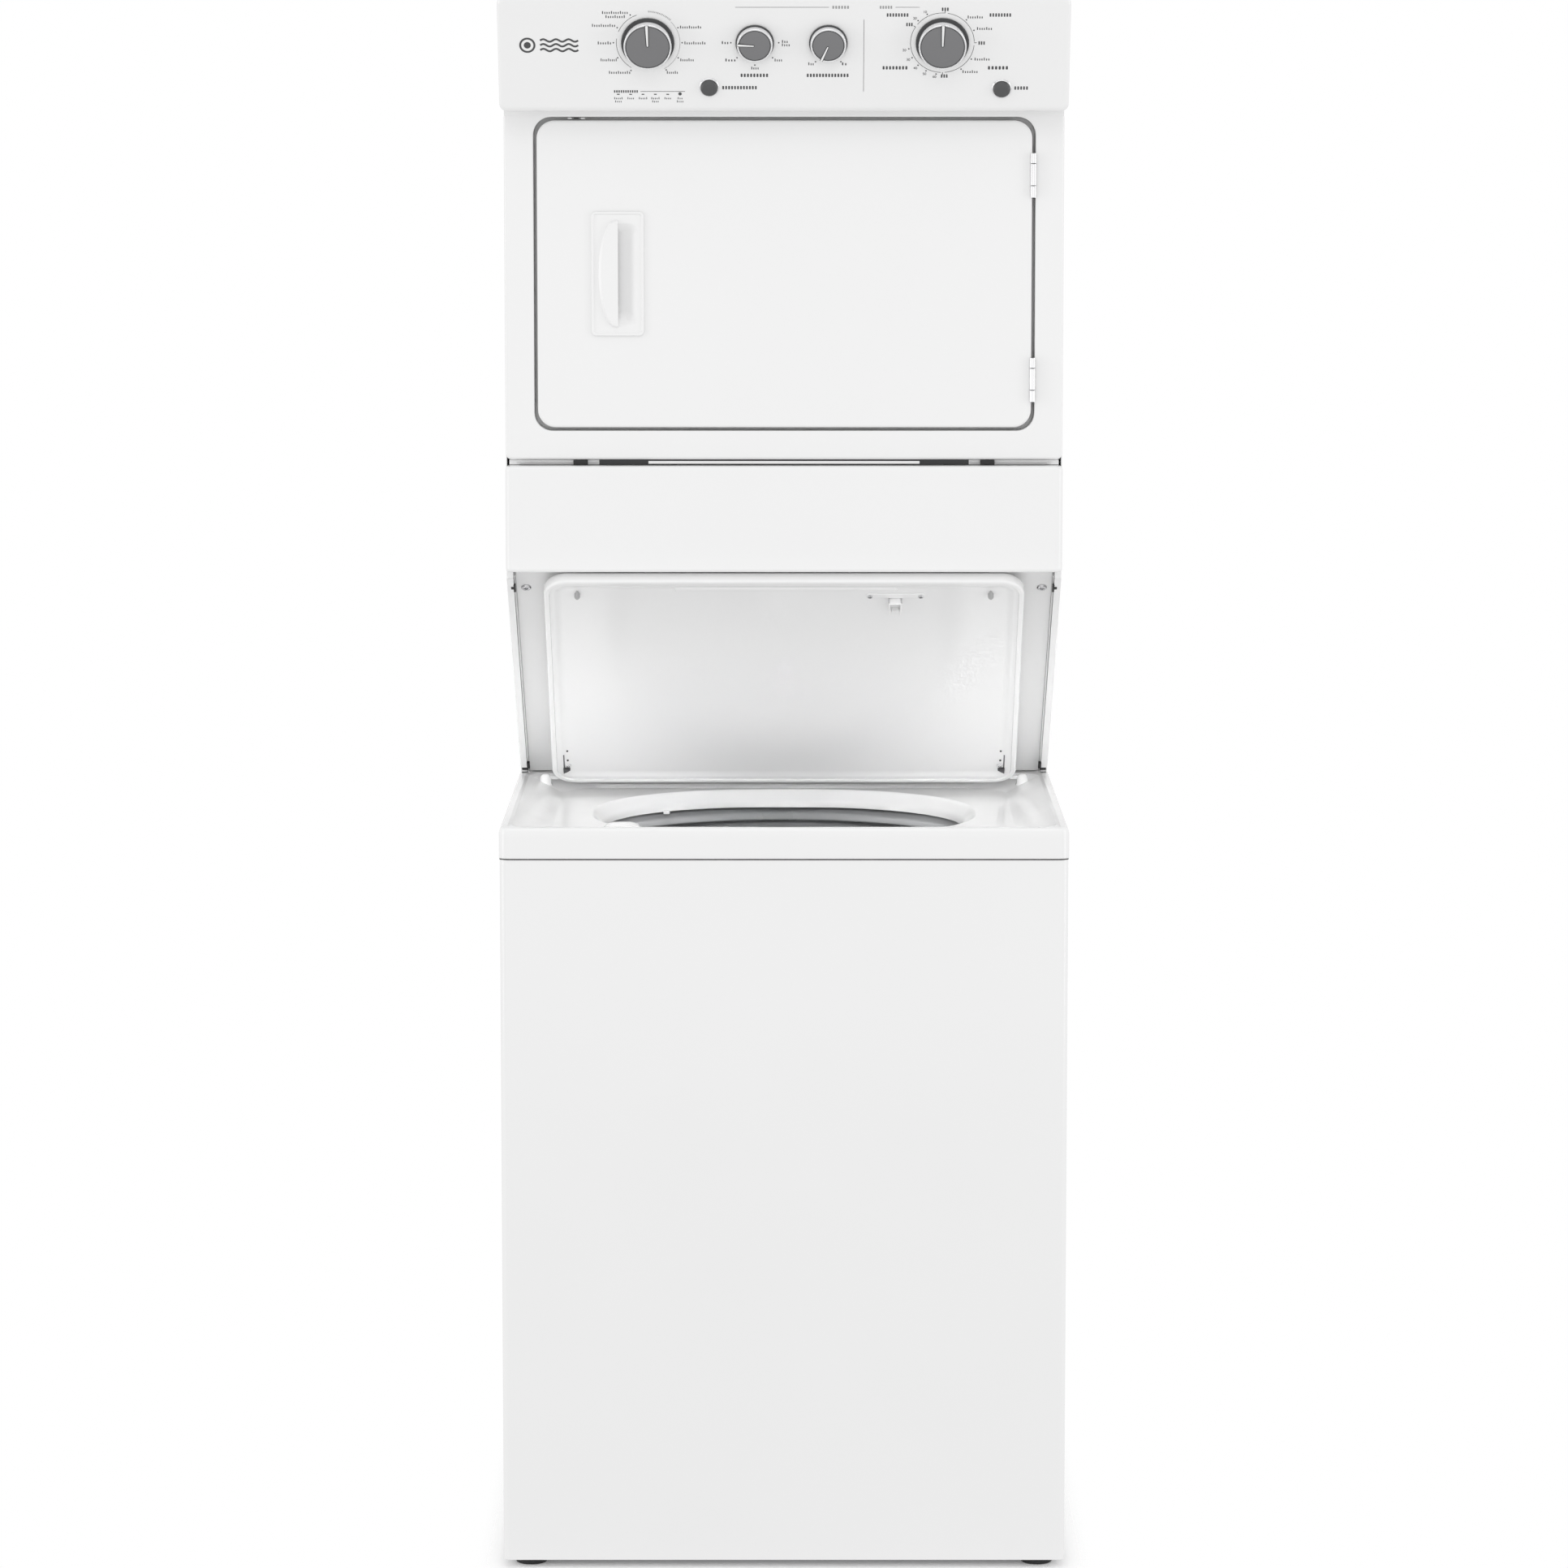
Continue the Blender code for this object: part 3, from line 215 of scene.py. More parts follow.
LOOKS = {name: (look(name, *values, **details), slot) for name, slot, *values, details in (
    ("enamel", "white_enamel", 0.85, 0.14,
     dict(relief=0.000006, grain=420, tone=0.004, rough_tone=0.03, ripple=0.00035)),
    ("white_plastic", "white_plastic", 0.85, 0.22, dict(relief=0.000008, tone=0.006)),
    ("tub_plastic", "tub_plastic", (0.74, 0.75, 0.76), 0.3, {}),
    ("ring_grey", "tub_plastic", (0.115, 0.12, 0.125), 0.35, dict(tone=0.05)),
    ("knob_grey", "control_grey", (0.2, 0.2, 0.205), 0.34,
     dict(metallic=0.35, grain=2600, relief=0.000012, tone=0.04)),
    ("button_grey", "control_grey", (0.085, 0.086, 0.088), 0.36, dict(metallic=0.2, grain=2200, tone=0.05)),
    ("knob_dark", "control_grey", (0.035, 0.036, 0.038), 0.3, dict(grain=1800, tone=0.1)),
    ("steel", "steel", (0.62, 0.62, 0.63), 0.28,
     dict(metallic=1, grain=500, relief=0.00001, stretch=(1, 1, 12), tone=0.04)),
    ("chrome", "steel", (0.86, 0.86, 0.87), 0.1,
     dict(metallic=1, grain=2000, relief=0.000002, tone=0.01, rough_tone=0.04)),
    ("steel_dark", "steel", (0.16, 0.16, 0.165), 0.35, dict(metallic=1, grain=600, tone=0.08)),
    ("zinc", "zinc_sheet", (0.56, 0.57, 0.585), 0.38,
     dict(metallic=1, grain=130, tone=0.07, rough_tone=0.12, ripple=0.0003)),
    ("basket", "basket_steel", (0.66, 0.66, 0.67), 0.25,
     dict(metallic=1, grain=400, relief=0.00001, stretch=(1, 1, 14), tone=0.03)),
    ("black", "black_plastic", 0.012, 0.45, dict(grain=1500, tone=0.2)),
    ("rubber", "rubber", (0.03, 0.03, 0.031), 0.75, dict(grain=1200, relief=0.00006, tone=0.15)),
    ("grey_rubber", "rubber", 0.42, 0.55, dict(grain=1200, relief=0.00004)),
    ("mesh_grey", "lint_grey", (0.24, 0.25, 0.26), 0.45, dict(grain=2400, relief=0.00012, tone=0.1)),
    ("ink", "control_grey", (0.065, 0.066, 0.068), 0.4, dict(grain=1500, tone=0.05)),
    ("pale_ink", "control_grey", 0.33, 0.4, dict(grain=1500, tone=0.03)),
)}
perforate(LOOKS["basket"][0])

# A slot's own look, which the CAD's nodes get, is the first one above that has it.
SLOT_LOOKS = {slot: material for material, slot in reversed(LOOKS.values())}

# ---- Frames: x to the right, and z out of the surface where there is one ----


def move(x, y, z=0):
    return Matrix.Translation((x, y, z))


def turn(angle, axis):
    return Matrix.Rotation(angle, 4, axis)


def at_setback(x, setback, z=0):
    return move(x, front(setback), z)


SETBACKS = at_setback(0, 0)
TUB = at_setback(0, TUB_SETBACK)


def at_front(x, setback, z):
    """On an upright face, y up."""
    return at_setback(x, setback, z) @ turn(QUARTER, "X")


def at_rear(x, setback, z):
    return at_setback(x, setback, z) @ turn(-QUARTER, "X")


def face_setback(z):
    return CONSOLE_FOOT - (z - CONSOLE_LOW) * math.tan(CONSOLE_LEAN)


def at_console(x, z):
    """On the console's face, y up the face."""
    return at_setback(x, face_setback(z), z) @ turn(QUARTER + CONSOLE_LEAN, "X")


def at_lid(x=0, along=0, height=0):
    """On the lid's underside, y from its rear edge to its front."""
    return (at_setback(0, *LID_PIN) @ turn(-LID_OPEN, "X")
            @ move(x, LID_PIN_OFFSET[0] - along, height - LID_PIN_OFFSET[1]) @ turn(math.pi, "X"))


def at_slope(x, up, out=0):
    """On the sloping face below the dryer, y up the slope from its foot."""
    angle = math.atan2(UP_SLOPE.y, UP_SLOPE.x)
    return at_setback(x, *(SLOPE_FOOT + UP_SLOPE * up)) @ turn(angle, "X") @ move(0, 0, out)


# ---- Outlines ----


def polar(radius, angle):
    return radius * math.cos(angle), radius * math.sin(angle)


def around(count):
    return [2 * math.pi * i / count for i in range(count)]


def soften(stations, steps=5):
    """Rounds a chain of stations. A station's last number says how far from it its curve begins, and 0
    keeps it sharp."""
    made = []
    for i, (*values, reach) in enumerate(stations):
        here = Vector(values)
        if not reach:
            made.append(here)
            continue
        before = Vector(stations[i - 1][:-1]) - here
        after = Vector(stations[(i + 1) % len(stations)][:-1]) - here
        start = before * min(0.48, reach / before.length)
        end = after * min(0.48, reach / after.length)
        for step in range(steps + 1):
            t = step / steps
            made.append(here + start * (1 - t) ** 2 + end * t ** 2)
    return made


def rounded(centre, size, corner, steps=10, grow=0):
    """A rounded rectangle, anticlockwise from its right side's lower end."""
    (cx, cy), (width, height) = centre, [s + 2 * grow for s in size]
    corner = max(corner + grow, 0.0004)
    points = []
    for quarter, (sx, sy) in enumerate(((1, -1), (1, 1), (-1, 1), (-1, -1))):
        for step in range(steps + 1):
            x, y = polar(corner, QUARTER * (quarter - 1 + step / steps))
            points.append((cx + sx * (width / 2 - corner) + x, cy + sy * (height / 2 - corner) + y))
    return points


def bent(half, face, back, corner):
    """The outline of a strip that is bent back round two upright edges and is open behind."""
    line, quarter = rounded((0, face + 0.5), (2 * half, 1), corner), 11
    return [(half, back), *reversed(line[:quarter]), *reversed(line[3 * quarter:]), (-half, back)]


def scaled(outline, share, lift=0):
    return [(x * share, y * share + lift) for x, y in outline]


def upright(setback, outline):
    return [(x, setback, z) for x, z in outline]


def uprights(outline, *stations, steps=5):
    """The upright loops of outline(value) through stations of value, setback and reach."""
    return [upright(setback, outline(value)) for value, setback in soften(stations, steps)]


def level(z, outline):
    return [(x, y, z) for x, y in outline]


# ---- Skins and pieces ----


def skin(loops, ring=False, caps=True, at=SETBACKS):
    """Closed loops of equal length, to be joined and filled at the ends, or joined into a ring."""
    return [[at @ Vector(point) for point in loop] for loop in loops], ring, caps


def tapered(outline, stations, at):
    """A block whose outline shrinks through stations of share, height and, where it isn't 0, lift."""
    return skin([level(z, scaled(outline, share, *lift)) for share, z, *lift in stations], at=at)


def slab(low, high, at=SETBACKS):
    (x0, y0, z0), (x1, y1, z1) = low, high
    return plate(((x0, y0), (x1, y0), (x1, y1), (x0, y1)), z0, z1, at)


def plate(outline, low, high, at=SETBACKS):
    return skin([level(z, outline) for z in (low, high)], at=at)


def turned(profile, at, steps=48, ring=False):
    """Turns a profile of (radius, height) about the local z."""
    return skin([[(*polar(radius, angle), height) for angle in around(steps)] for radius, height in profile],
                ring, at=at)


def disc(radius, low, high, at, steps):
    return turned(((radius, low), (radius, high)), at, steps)


def screw(at, radius=0.004, tall=0.0018, slot_wide=0.0008):
    """A pan head with a cross cut into it."""
    arm, half = radius * 0.52, slot_wide * 0.9
    loops = [[(*polar(radius * share, angle), tall * height) for angle in around(32)]
             for share, height in ((1, 0), (1, 0.45), (0.86, 0.85), (0.6, 1))]
    cross = []
    for angle in around(32):
        near = angle % QUARTER
        near = min(near, QUARTER - near)
        cross.append(polar(min(arm, half / max(math.sin(near), 1e-6)), angle))
    loops += [level(tall, cross), level(tall * 0.25, scaled(cross, 0.8))]
    return skin(loops, at=at)


def piece(name, kind, *skins, body="cabinet", node=None, bevel=0, sharp=32):
    """Makes skins into one piece of the model, which replaces the CAD's node if one is given."""
    bm = bmesh.new()
    for loops, ring, caps in skins:
        rows = [[bm.verts.new(point) for point in loop] for loop in loops]
        if caps and not ring:
            bm.faces.new(rows[0][::-1])
            bm.faces.new(rows[-1])
        if ring:
            rows.append(rows[0])
        for low, high in zip(rows, rows[1:]):
            for i in range(-1, len(low) - 1):
                bm.faces.new((low[i], low[i + 1], high[i + 1], high[i]))
    bmesh.ops.recalc_face_normals(bm, faces=bm.faces)
    mesh = bpy.data.meshes.new(name)
    bm.to_mesh(mesh)
    bm.free()
    mesh.shade_smooth()
    mesh.set_sharp_from_angle(angle=math.radians(sharp))
    dress(name, mesh, kind, body, node, bevel)


def add_object(name, data):
    made = bpy.data.objects.new(name, data)
    bpy.context.scene.collection.objects.link(made)
    return made


def dress(name, mesh, kind, body, node=None, bevel=0):
    made = add_object(name, mesh)
    material, slot = LOOKS[kind]
    mesh.materials.clear()
    mesh.materials.append(material)
    if bevel:
        step = made.modifiers.new("edges", "BEVEL")
        step.width = bevel
        step.segments = 3
        step.limit_method = "ANGLE"
        step.angle_limit = math.radians(32)
    made.modifiers.new("normals", "WEIGHTED_NORMAL").keep_sharp = not bevel
    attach(made, body)
    if node:
        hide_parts(node)


# ---- Washer ----


def washer_cabinet():
    low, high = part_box("washer_cabinet")
    wrap = bent(high.x, 0, WASHER_DEPTH, 0.009)
    wrap += reversed(bent(high.x - SHEET, SHEET, WASHER_DEPTH, 0.009 - SHEET))
    piece("washer_cabinet_panel", "enamel", plate(wrap, low.z, high.z), node="washer_cabinet", bevel=0.0006)
    outer = rounded((0, 0.372), (0.684, 0.736), 0.008)
    inner = rounded((0, 0.372), (0.65, 0.702), 0.004)
    hem = ((-0.001, outer), (0.001, outer), (0.001, inner), (-0.001, inner))
    hem = skin([level(low.z + up, outline) for up, outline in hem], ring=True)
    piece("washer_cabinet_hem", "enamel", hem)


def washer_deck():
    half, top, floor, foot = 0.346, 0.9165, 0.899, 0.8815
    mouth_half = (0.2275, 0.207)

    # A station is its half width, its near and far setback, its corner, its height, how much higher it lies
    # along the front and sides than at the rear, and its reach.
    def outer(inset, z, lip=0, reach=0):
        return half - inset, inset, WASHER_DEPTH - inset, max(0.012 - inset, 0.002), z, lip, reach

    def throat(grow, z, reach=0):
        wide, deep = [size + grow for size in mouth_half]
        return wide, TUB_SETBACK - deep, TUB_SETBACK + deep, 0.195 + grow, z, 0, reach

    loops = []
    for wide, near, far, corner, z, lip in soften([
        outer(0, foot), outer(0, top, 0.0024, 0.01), outer(0.01, top - 0.0002, 0.003, 0.005),
        (0.3315, 0.0155, 0.5525, 0.024, top - 0.0006, 0.0028, 0.003),
        (0.3255, 0.022, 0.548, 0.03, top - 0.002, 0, 0.004),
        (0.288, 0.04, 0.53, 0.045, floor, 0, 0.01),
        throat(0.013, floor, 0.007), throat(0.001, 0.884, 0.006), throat(0, 0.877),
        throat(SHEET, 0.877), throat(0.003, 0.884), throat(0.015, floor - SHEET),
        (0.29, 0.038, 0.532, 0.047, floor - SHEET, 0, 0),
        (0.329, 0.019, 0.551, 0.032, top - SHEET - 0.002, 0, 0),
        outer(0.006, top - SHEET - 0.001), outer(SHEET, foot),
    ], 6):
        loop = []
        for x, setback in rounded((0, (near + far) / 2), (2 * wide, far - near), corner, 14):
            share = min(1, max(0, (0.53 - setback) / 0.12))
            loop.append((x, setback, z + lip * share * share * (3 - 2 * share)))
        loops.append(loop)
    piece("washer_top_shell", "enamel", skin(loops, ring=True), node="washer_top_deck")

    mound = [level(floor + z, rounded((-0.199, 0.108), (0.048 * share, 0.028 * share), 0.01 * share, 6))
             for z, share in ((-0.0005, 1), (0.007, 0.94), (0.0105, 0.78), (0.0124, 0.52), (0.013, 0.2))]
    tab = slab((-0.1555, 0.461, 0.8742), (-0.1475, 0.464, 0.879))
    piece("washer_top_lugs", "enamel", tab, skin(mound), bevel=0.0005, sharp=60)
    seam = rounded((0, WASHER_DEPTH / 2), (0.6912, 0.7462), 0.011)
    piece("washer_top_seam", "black", skin([level(z, seam) for z in (0.8801, 0.8813)], caps=False))


def tub_and_basket():
    profile = soften([
        (0.236, 0.857, 0.003), (0.269, 0.8505, 0), (0.279, 0.8505, 0), (0.279, 0.862, 0.002),
        (0.268, 0.872, 0.003), (0.247, 0.872, 0.003), (0.236, 0.8655, 0.003),
    ], 4)
    piece("tub_ring_moulding", "tub_plastic", turned(profile, TUB, 120, ring=True), node="tub_ring")
    profile = soften([
        (0.226, 0.812, 0.003), (0.244, 0.8065, 0), (0.262, 0.8065, 0.002), (0.262, 0.84, 0.003),
        (0.255, 0.846, 0.004), (0.232, 0.846, 0.004), (0.222, 0.836, 0.004), (0.222, 0.818, 0.003),
    ], 4)
    piece("balance_ring_moulding", "ring_grey", turned(profile, TUB, 120, ring=True), body="basket",
          node="balance_ring")
    marks = (slab((0.2206, -0.006, 0.823), (0.2228, 0.006, 0.829), TUB @ turn(angle + math.pi / 12, "Z"))
             for angle in around(12))
    piece("balance_ring_marks", "tub_plastic", *marks, body="basket", bevel=0.0004)

    wall, hub = 0.0014, 0.0185
    outside = soften([
        (hub, 0.2625, 0), (0.2, 0.2625, 0.01), (0.226, 0.263, 0.02), (0.256, 0.292, 0.02),
        (0.256, 0.43, 0.004), (0.2535, 0.438, 0.004), (0.256, 0.446, 0.004),
        (0.256, 0.66, 0.004), (0.2535, 0.668, 0.004), (0.256, 0.676, 0.004), (0.256, 0.806, 0),
    ], 4)
    inside = [(max(r - wall, hub), z + (wall if r < 0.25 and z < 0.29 else 0)) for r, z in reversed(outside)]
    piece("basket_shell", "basket", turned(outside + inside, TUB, 120, ring=True), body="basket",
          node="wash_basket")


def agitator():
    vanes = 4
    loops = [
        [(*polar(radius + reach * max(0, math.cos(vanes * angle)) ** 6, angle), z) for angle in around(144)]
        for z, radius, reach in soften([
            (0.292, 0.168, 0.004, 0), (0.299, 0.168, 0.004, 0.003), (0.308, 0.15, 0.016, 0.008),
            (0.33, 0.11, 0.046, 0.02), (0.362, 0.078, 0.058, 0.03), (0.4, 0.058, 0.046, 0.03),
            (0.45, 0.048, 0.026, 0.04), (0.56, 0.044, 0.014, 0.05), (0.66, 0.042, 0.01, 0.02),
            (0.69, 0.042, 0.004, 0.008), (0.7, 0.04, 0, 0),
        ])
    ]
    piece("agitator_moulding", "white_plastic", skin(loops, at=TUB), body="agitator", node="agitator",
          sharp=50)
    profile = soften([
        (0.036, 0.7003, 0), (0.046, 0.704, 0.002), (0.046, 0.717, 0.003), (0.037, 0.729, 0.004),
        (0.012, 0.73, 0.002), (0.01, 0.724, 0),
    ])
    piece("agitator_cap_moulding", "white_plastic", turned(profile, TUB, 72), body="agitator",
          node="agitator_cap")


def lid():
    taper = (LID_HALF_WIDTH[1] / LID_HALF_WIDTH[0] - 1) / LID_LENGTH

    def pan(name, node, steps, *stations):
        """A station is a height above the rim and an inset. The height is negative in the lid's frame."""
        loops = []
        for height, inset in soften(stations, steps):
            size = (2 * LID_HALF_WIDTH[0], LID_LENGTH)
            outline = rounded((0, LID_LENGTH / 2), size, 0.03, 12, -inset)
            loops.append([(x * (1 + taper * along), along, -height) for x, along in outline])
        piece(name, "enamel", skin(loops, at=at_lid()), body="lid", node=node)

    pan("lid_outer_pan", "lid_outer", 6, (0.01, 0.0072, 0), (0, 0.0069, 0.001), (0, 0, 0.0035),
        (LID_THICK, 0, 0.006), (LID_THICK, 0.02, 0))
    face = 0.005
    pan("lid_inner_pan", "lid_inner", 5, (0.0085, 0.0065, 0), (0.0026, 0.0065, 0), (0.0022, 0.012, 0.003),
        (face, 0.019, 0.004), (face, 0.03, 0))
    ridge = [level(z, rounded((0, 0), (0.276, 0.007), 0.0034, 6, -inset))
             for z, inset in ((0, 0), (0.0012, 0.0004), (0.0019, 0.0014))]
    piece("lid_grip_ridge", "enamel", skin(ridge, at=at_lid(0.003, 0.437, face)), body="lid", sharp=50)

    circle = (polar(1, angle) for angle in around(24))
    drop = [(0.0036 * (1 if y < 0.1 else 0.55) * x, 0.0062 * y) for x, y in circle]
    ends = ((1, 0), (1, 0.005), (0.7, 0.0068))
    bumpers = (tapered(drop, ends, at_lid(x, 0.428, face)) for x in (-0.256, 0.256))
    piece("lid_bumpers", "grey_rubber", *bumpers, body="lid", sharp=50)

    x, along = 0.138, 0.424
    foot = [level(z, rounded((0, 0), (0.072, 0.0095), 0.003 + inset, 4, -inset))
            for z, inset in ((0, 0), (0.0012, 0), (0.0018, 0.00075))]
    at = at_lid(x, along - 0.004, face)
    hook = [slab((side * 0.006, -0.0285, 0), (side * 0.0085, -0.002, 0.0085), at) for side in (-1, 1)]
    hook.append(slab((-0.0085, -0.0045, 0), (0.0085, -0.002, 0.0095), at))
    hook.append(slab((-0.0045, -0.027, 0), (0.0045, -0.0225, 0.006), at))
    piece("lid_strike", "white_plastic", skin(foot, at=at_lid(x, along, face)), *hook, body="lid",
          bevel=0.0006)
    screws = (screw(at_lid(x + offset, along, face - 0.0018), 0.0032) for offset in (-0.0315, 0.0315))
    piece("lid_strike_screws", "steel", *screws, body="lid")
    for name, side in SIDES:
        lid_hinge(name, side, partial(at_lid, side * 0.28, height=face))


def lid_hinge(name, side, at):
    """The plate on the lid, placed by at(along=...), and the saddle on the deck."""
    outline = ((0, 0), (side * 0.0055, -0.0045), (side * 0.0055, 0.0062), (-side * 0.0035, 0.0035))
    strip = slab((side * 0.0035, 0.004, 0), (side * 0.0055, 0.036, 0.0016), at(along=0.026))
    piece(f"lid_hinge_plate_{name}", "steel_dark", plate(outline, 0, 0.0046, at(along=0.026)), strip,
          body="lid", bevel=0.0005)
    head = screw(at(along=0.0365) @ move(-side * 0.0012, 0, 0.0006), 0.0036)
    piece(f"lid_hinge_screw_{name}", "chrome", head, body="lid")
    # The plate's holes are black discs: painted shade standing for the dark inside of each hole.
    places = (at(along=along) @ move(-side * 0.0005, 0) for along in (0.048, 0.07))
    hole_shades = (disc(0.0013, 0, 0.0012, place, 16) for place in places)
    piece(f"lid_hinge_hole_shade_{name}", "black", *hole_shades, body="lid")
    saddle = [level(z, rounded((side * 0.3096, LID_PIN[0]), (2 * wide, 2 * deep), wide * 0.9, 6))
              for z, wide, deep in (
                  (0.898, 0.011, 0.015), (0.904, 0.0098, 0.013), (0.908, 0.0076, 0.0105),
                  (0.914, 0.007, 0.0085), (0.9178, 0.0056, 0.0066), (0.9196, 0.0036, 0.0042),
                  (0.92, 0.0012, 0.0014))]
    pin = disc(0.0025, 0.2935, 0.308, at_setback(0, *LID_PIN) @ turn(side * QUARTER, "Y"), 24)
    piece(f"lid_hinge_saddle_{name}", "enamel", skin(saddle), pin, node=f"lid_hinge_{name}", sharp=60)


def slope():
    """The side panels, the slanted panel behind the lid, and what holds it."""
    length = (SLOPE_TOP - SLOPE_FOOT).length
    edge = at_slope(0, 0)
    for name, side in SIDES:
        low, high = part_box(f"side_skin_{name}")
        outside = high.x if side > 0 else low.x
        outline = ((SLOPE_FOOT.x + 0.008, low.z), SLOPE_FOOT, SLOPE_TOP, (SKIN_FRONT, high.z), (0.8, high.z),
                   (0.8, low.z))
        panel = skin([[(x, *point) for point in outline] for x in (outside, outside - side * SHEET)])
        piece(f"side_panel_{name}", "enamel", panel, node=f"side_skin_{name}", bevel=0.0007)
        near, far = outside - side * 0.0005, outside - side * 0.0085
        flange = (slab((near, -0.0115, -SHEET), (far, length - 0.001, 0), edge),
                  slab((near, SKIN_FRONT, 1.2052), (far, SKIN_FRONT + SHEET, 1.2155)))
        piece(f"side_flange_{name}", "enamel", *flange, bevel=0.0007)
        near, far = outside - side * 0.0086, outside - side * 0.0104
        fold = slab((near, -0.027, -0.0125), (far, length - 0.002, -0.005), edge)
        piece(f"side_fold_{name}", "enamel", fold)
        clip = at_slope(side * 0.3338, length - 0.02, -0.0022)
        foot = at_slope(side * 0.333, 0, -0.0022)
        piece(f"side_clips_{name}", "black", slab((-0.0014, -0.01, 0), (0.0014, 0.006, 0.003), clip),
              slab((0, -0.004, 0), (side * 0.0045, 0.001, 0.003), clip),
              slab((-0.002, -0.002, 0), (0.002, 0.012, 0.003), foot),
              slab((0, -0.0065, 0), (side * 0.0085, -0.001, 0.003), foot), bevel=0.0005)

    low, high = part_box("slant_panel")
    sheet = slab((low.x, -0.0284, -SLANT_INSET - SHEET), (high.x, length + 0.018, -SLANT_INSET), edge)
    piece("slant_panel_sheet", "enamel", sheet, node="slant_panel", bevel=0.0005)
    places = (at_slope(x, length - 0.038, -SLANT_INSET) for x in (-0.3205, 0.3205))
    piece("slant_panel_screws", "steel", *(screw(at, 0.0062, 0.0026, 0.0012) for at in places))


# ---- Dryer ----


def mid_panel():
    low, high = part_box("mid_panel")
    rows = soften([(0.016, low.z, 0), (0, low.z, 0.005), (0, high.z, 0.006), (0.016, high.z, 0)], 6)
    loops = [level(z, bent(high.x - inset, MID_FRONT + inset, SKIN_FRONT - REST, 0.008)) for inset, z in rows]
    piece("mid_panel_sheet", "enamel", skin(loops, caps=False), node="mid_panel", sharp=60)


def dryer_front():
    low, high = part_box("dryer_front_panel")
    centre, size = (0, (low.z + high.z) / 2), (high.x - low.x, high.z - low.z)
    back, behind = SKIN_FRONT - REST, 0.004

    def panel(inset):
        return rounded(centre, size, 0.008, grow=-inset)

    def recess(grow):
        gap = 0.004
        return rounded(DOOR_CENTRE, [s + 2 * gap for s in DOOR_SIZE], DOOR_CORNER, grow=grow)

    def tunnel(grow):
        return rounded(DOOR_CENTRE, OPENING_SIZE, 0.06, grow=grow)

    loops = uprights(panel, (0, back, 0), (0, FRONT_FACE, 0.004), (0.02, FRONT_FACE, 0), steps=6)[:-1]
    loops += uprights(recess, (0.0026, FRONT_FACE, 0), (0, FRONT_FACE, 0.0022), (0, RECESS_FLOOR, 0.0015),
                      (-0.006, RECESS_FLOOR, 0))
    loops += uprights(tunnel, (0.006, RECESS_FLOOR, 0), (0, RECESS_FLOOR, 0.003), (0, 0.2312, 0))
    loops += [upright(setback, tunnel(SHEET)) for setback in (0.2312, RECESS_FLOOR + behind)]
    loops += [upright(setback, recess(SHEET)) for setback in (RECESS_FLOOR + behind, FRONT_FACE + behind)]
    loops += [upright(FRONT_FACE + behind, panel(0.006)), upright(back, panel(SHEET))]
    piece("dryer_front_sheet", "enamel", skin(loops, ring=True), node="dryer_front_panel")


def dryer_door():
    def leaf(inset):
        return rounded(DOOR_CENTRE, DOOR_SIZE, DOOR_CORNER, grow=-inset)

    cup = rounded(HANDLE_CENTRE, [s - 0.006 for s in HANDLE_SIZE], 0.005)
    loops = uprights(leaf, (0, DOOR_BACK, 0), (0, DOOR_FACE, 0.0036), (0.02, DOOR_FACE, 0), steps=6)[:-1]
    loops += [upright(DOOR_FACE, cup), upright(DOOR_FACE + SHEET, cup)]
    loops += [upright(DOOR_FACE + SHEET, leaf(0.005)), upright(DOOR_BACK, leaf(SHEET))]
    piece("door_skin", "enamel", skin(loops, ring=True), body="dryer_door", node="door_outer")


def door_handle():
    face = DOOR_FACE - 0.0014
    across, up = HANDLE_CENTRE

    def rim(inset):
        return rounded(HANDLE_CENTRE, HANDLE_SIZE, 0.0062 + 0.1 * inset, grow=-inset)

    def pocket(depth):
        """depth runs from 0 at the face to 1 at the floor, which lies close behind the grip."""
        centre = (across + 0.0082 - 0.0062 * depth, up - 0.001)
        return rounded(centre, (0.0345 - 0.02 * depth, 0.126 - 0.028 * depth), 0.01 - 0.003 * depth)

    loops = [upright(DOOR_FACE + 0.013, rim(0.004)), upright(DOOR_FACE - REST, rim(0.0036))]
    loops += uprights(rim, (0.0004, DOOR_FACE - REST, 0), (0, face - 0.0014, 0.0009),
                      (0.003, face - 0.0014, 0.0009), (0.0038, face, 0.0007), (0.005, face, 0), steps=4)
    loops += uprights(pocket, (-0.04, face, 0), (0.06, face + 0.0002, 0.1), (1, DOOR_FACE + 0.0075, 0.35),
                      (1.6, DOOR_FACE + 0.0085, 0), steps=7)
    piece("handle_bezel", "white_plastic", skin(loops), body="dryer_door", node="door_handle", sharp=50)

    reach, tall, steps = 0.024, 0.0655, 24

    def crescent(share):
        half = tall * (1 - (1 - share) * 0.12)
        return [(across + 0.0005 - reach * share * math.sin(angle) ** 0.8, up + half * math.cos(angle))
                for angle in (math.pi * i / steps for i in range(steps + 1))]

    loops = uprights(crescent, (1, face + 0.004, 0), (1, face - 0.001, 0.0006),
                     (0.86, face - 0.0034, 0.0018), (0.3, face - 0.0044, 0))
    piece("handle_grip", "white_plastic", skin(loops), body="dryer_door", bevel=0.0006, sharp=50)


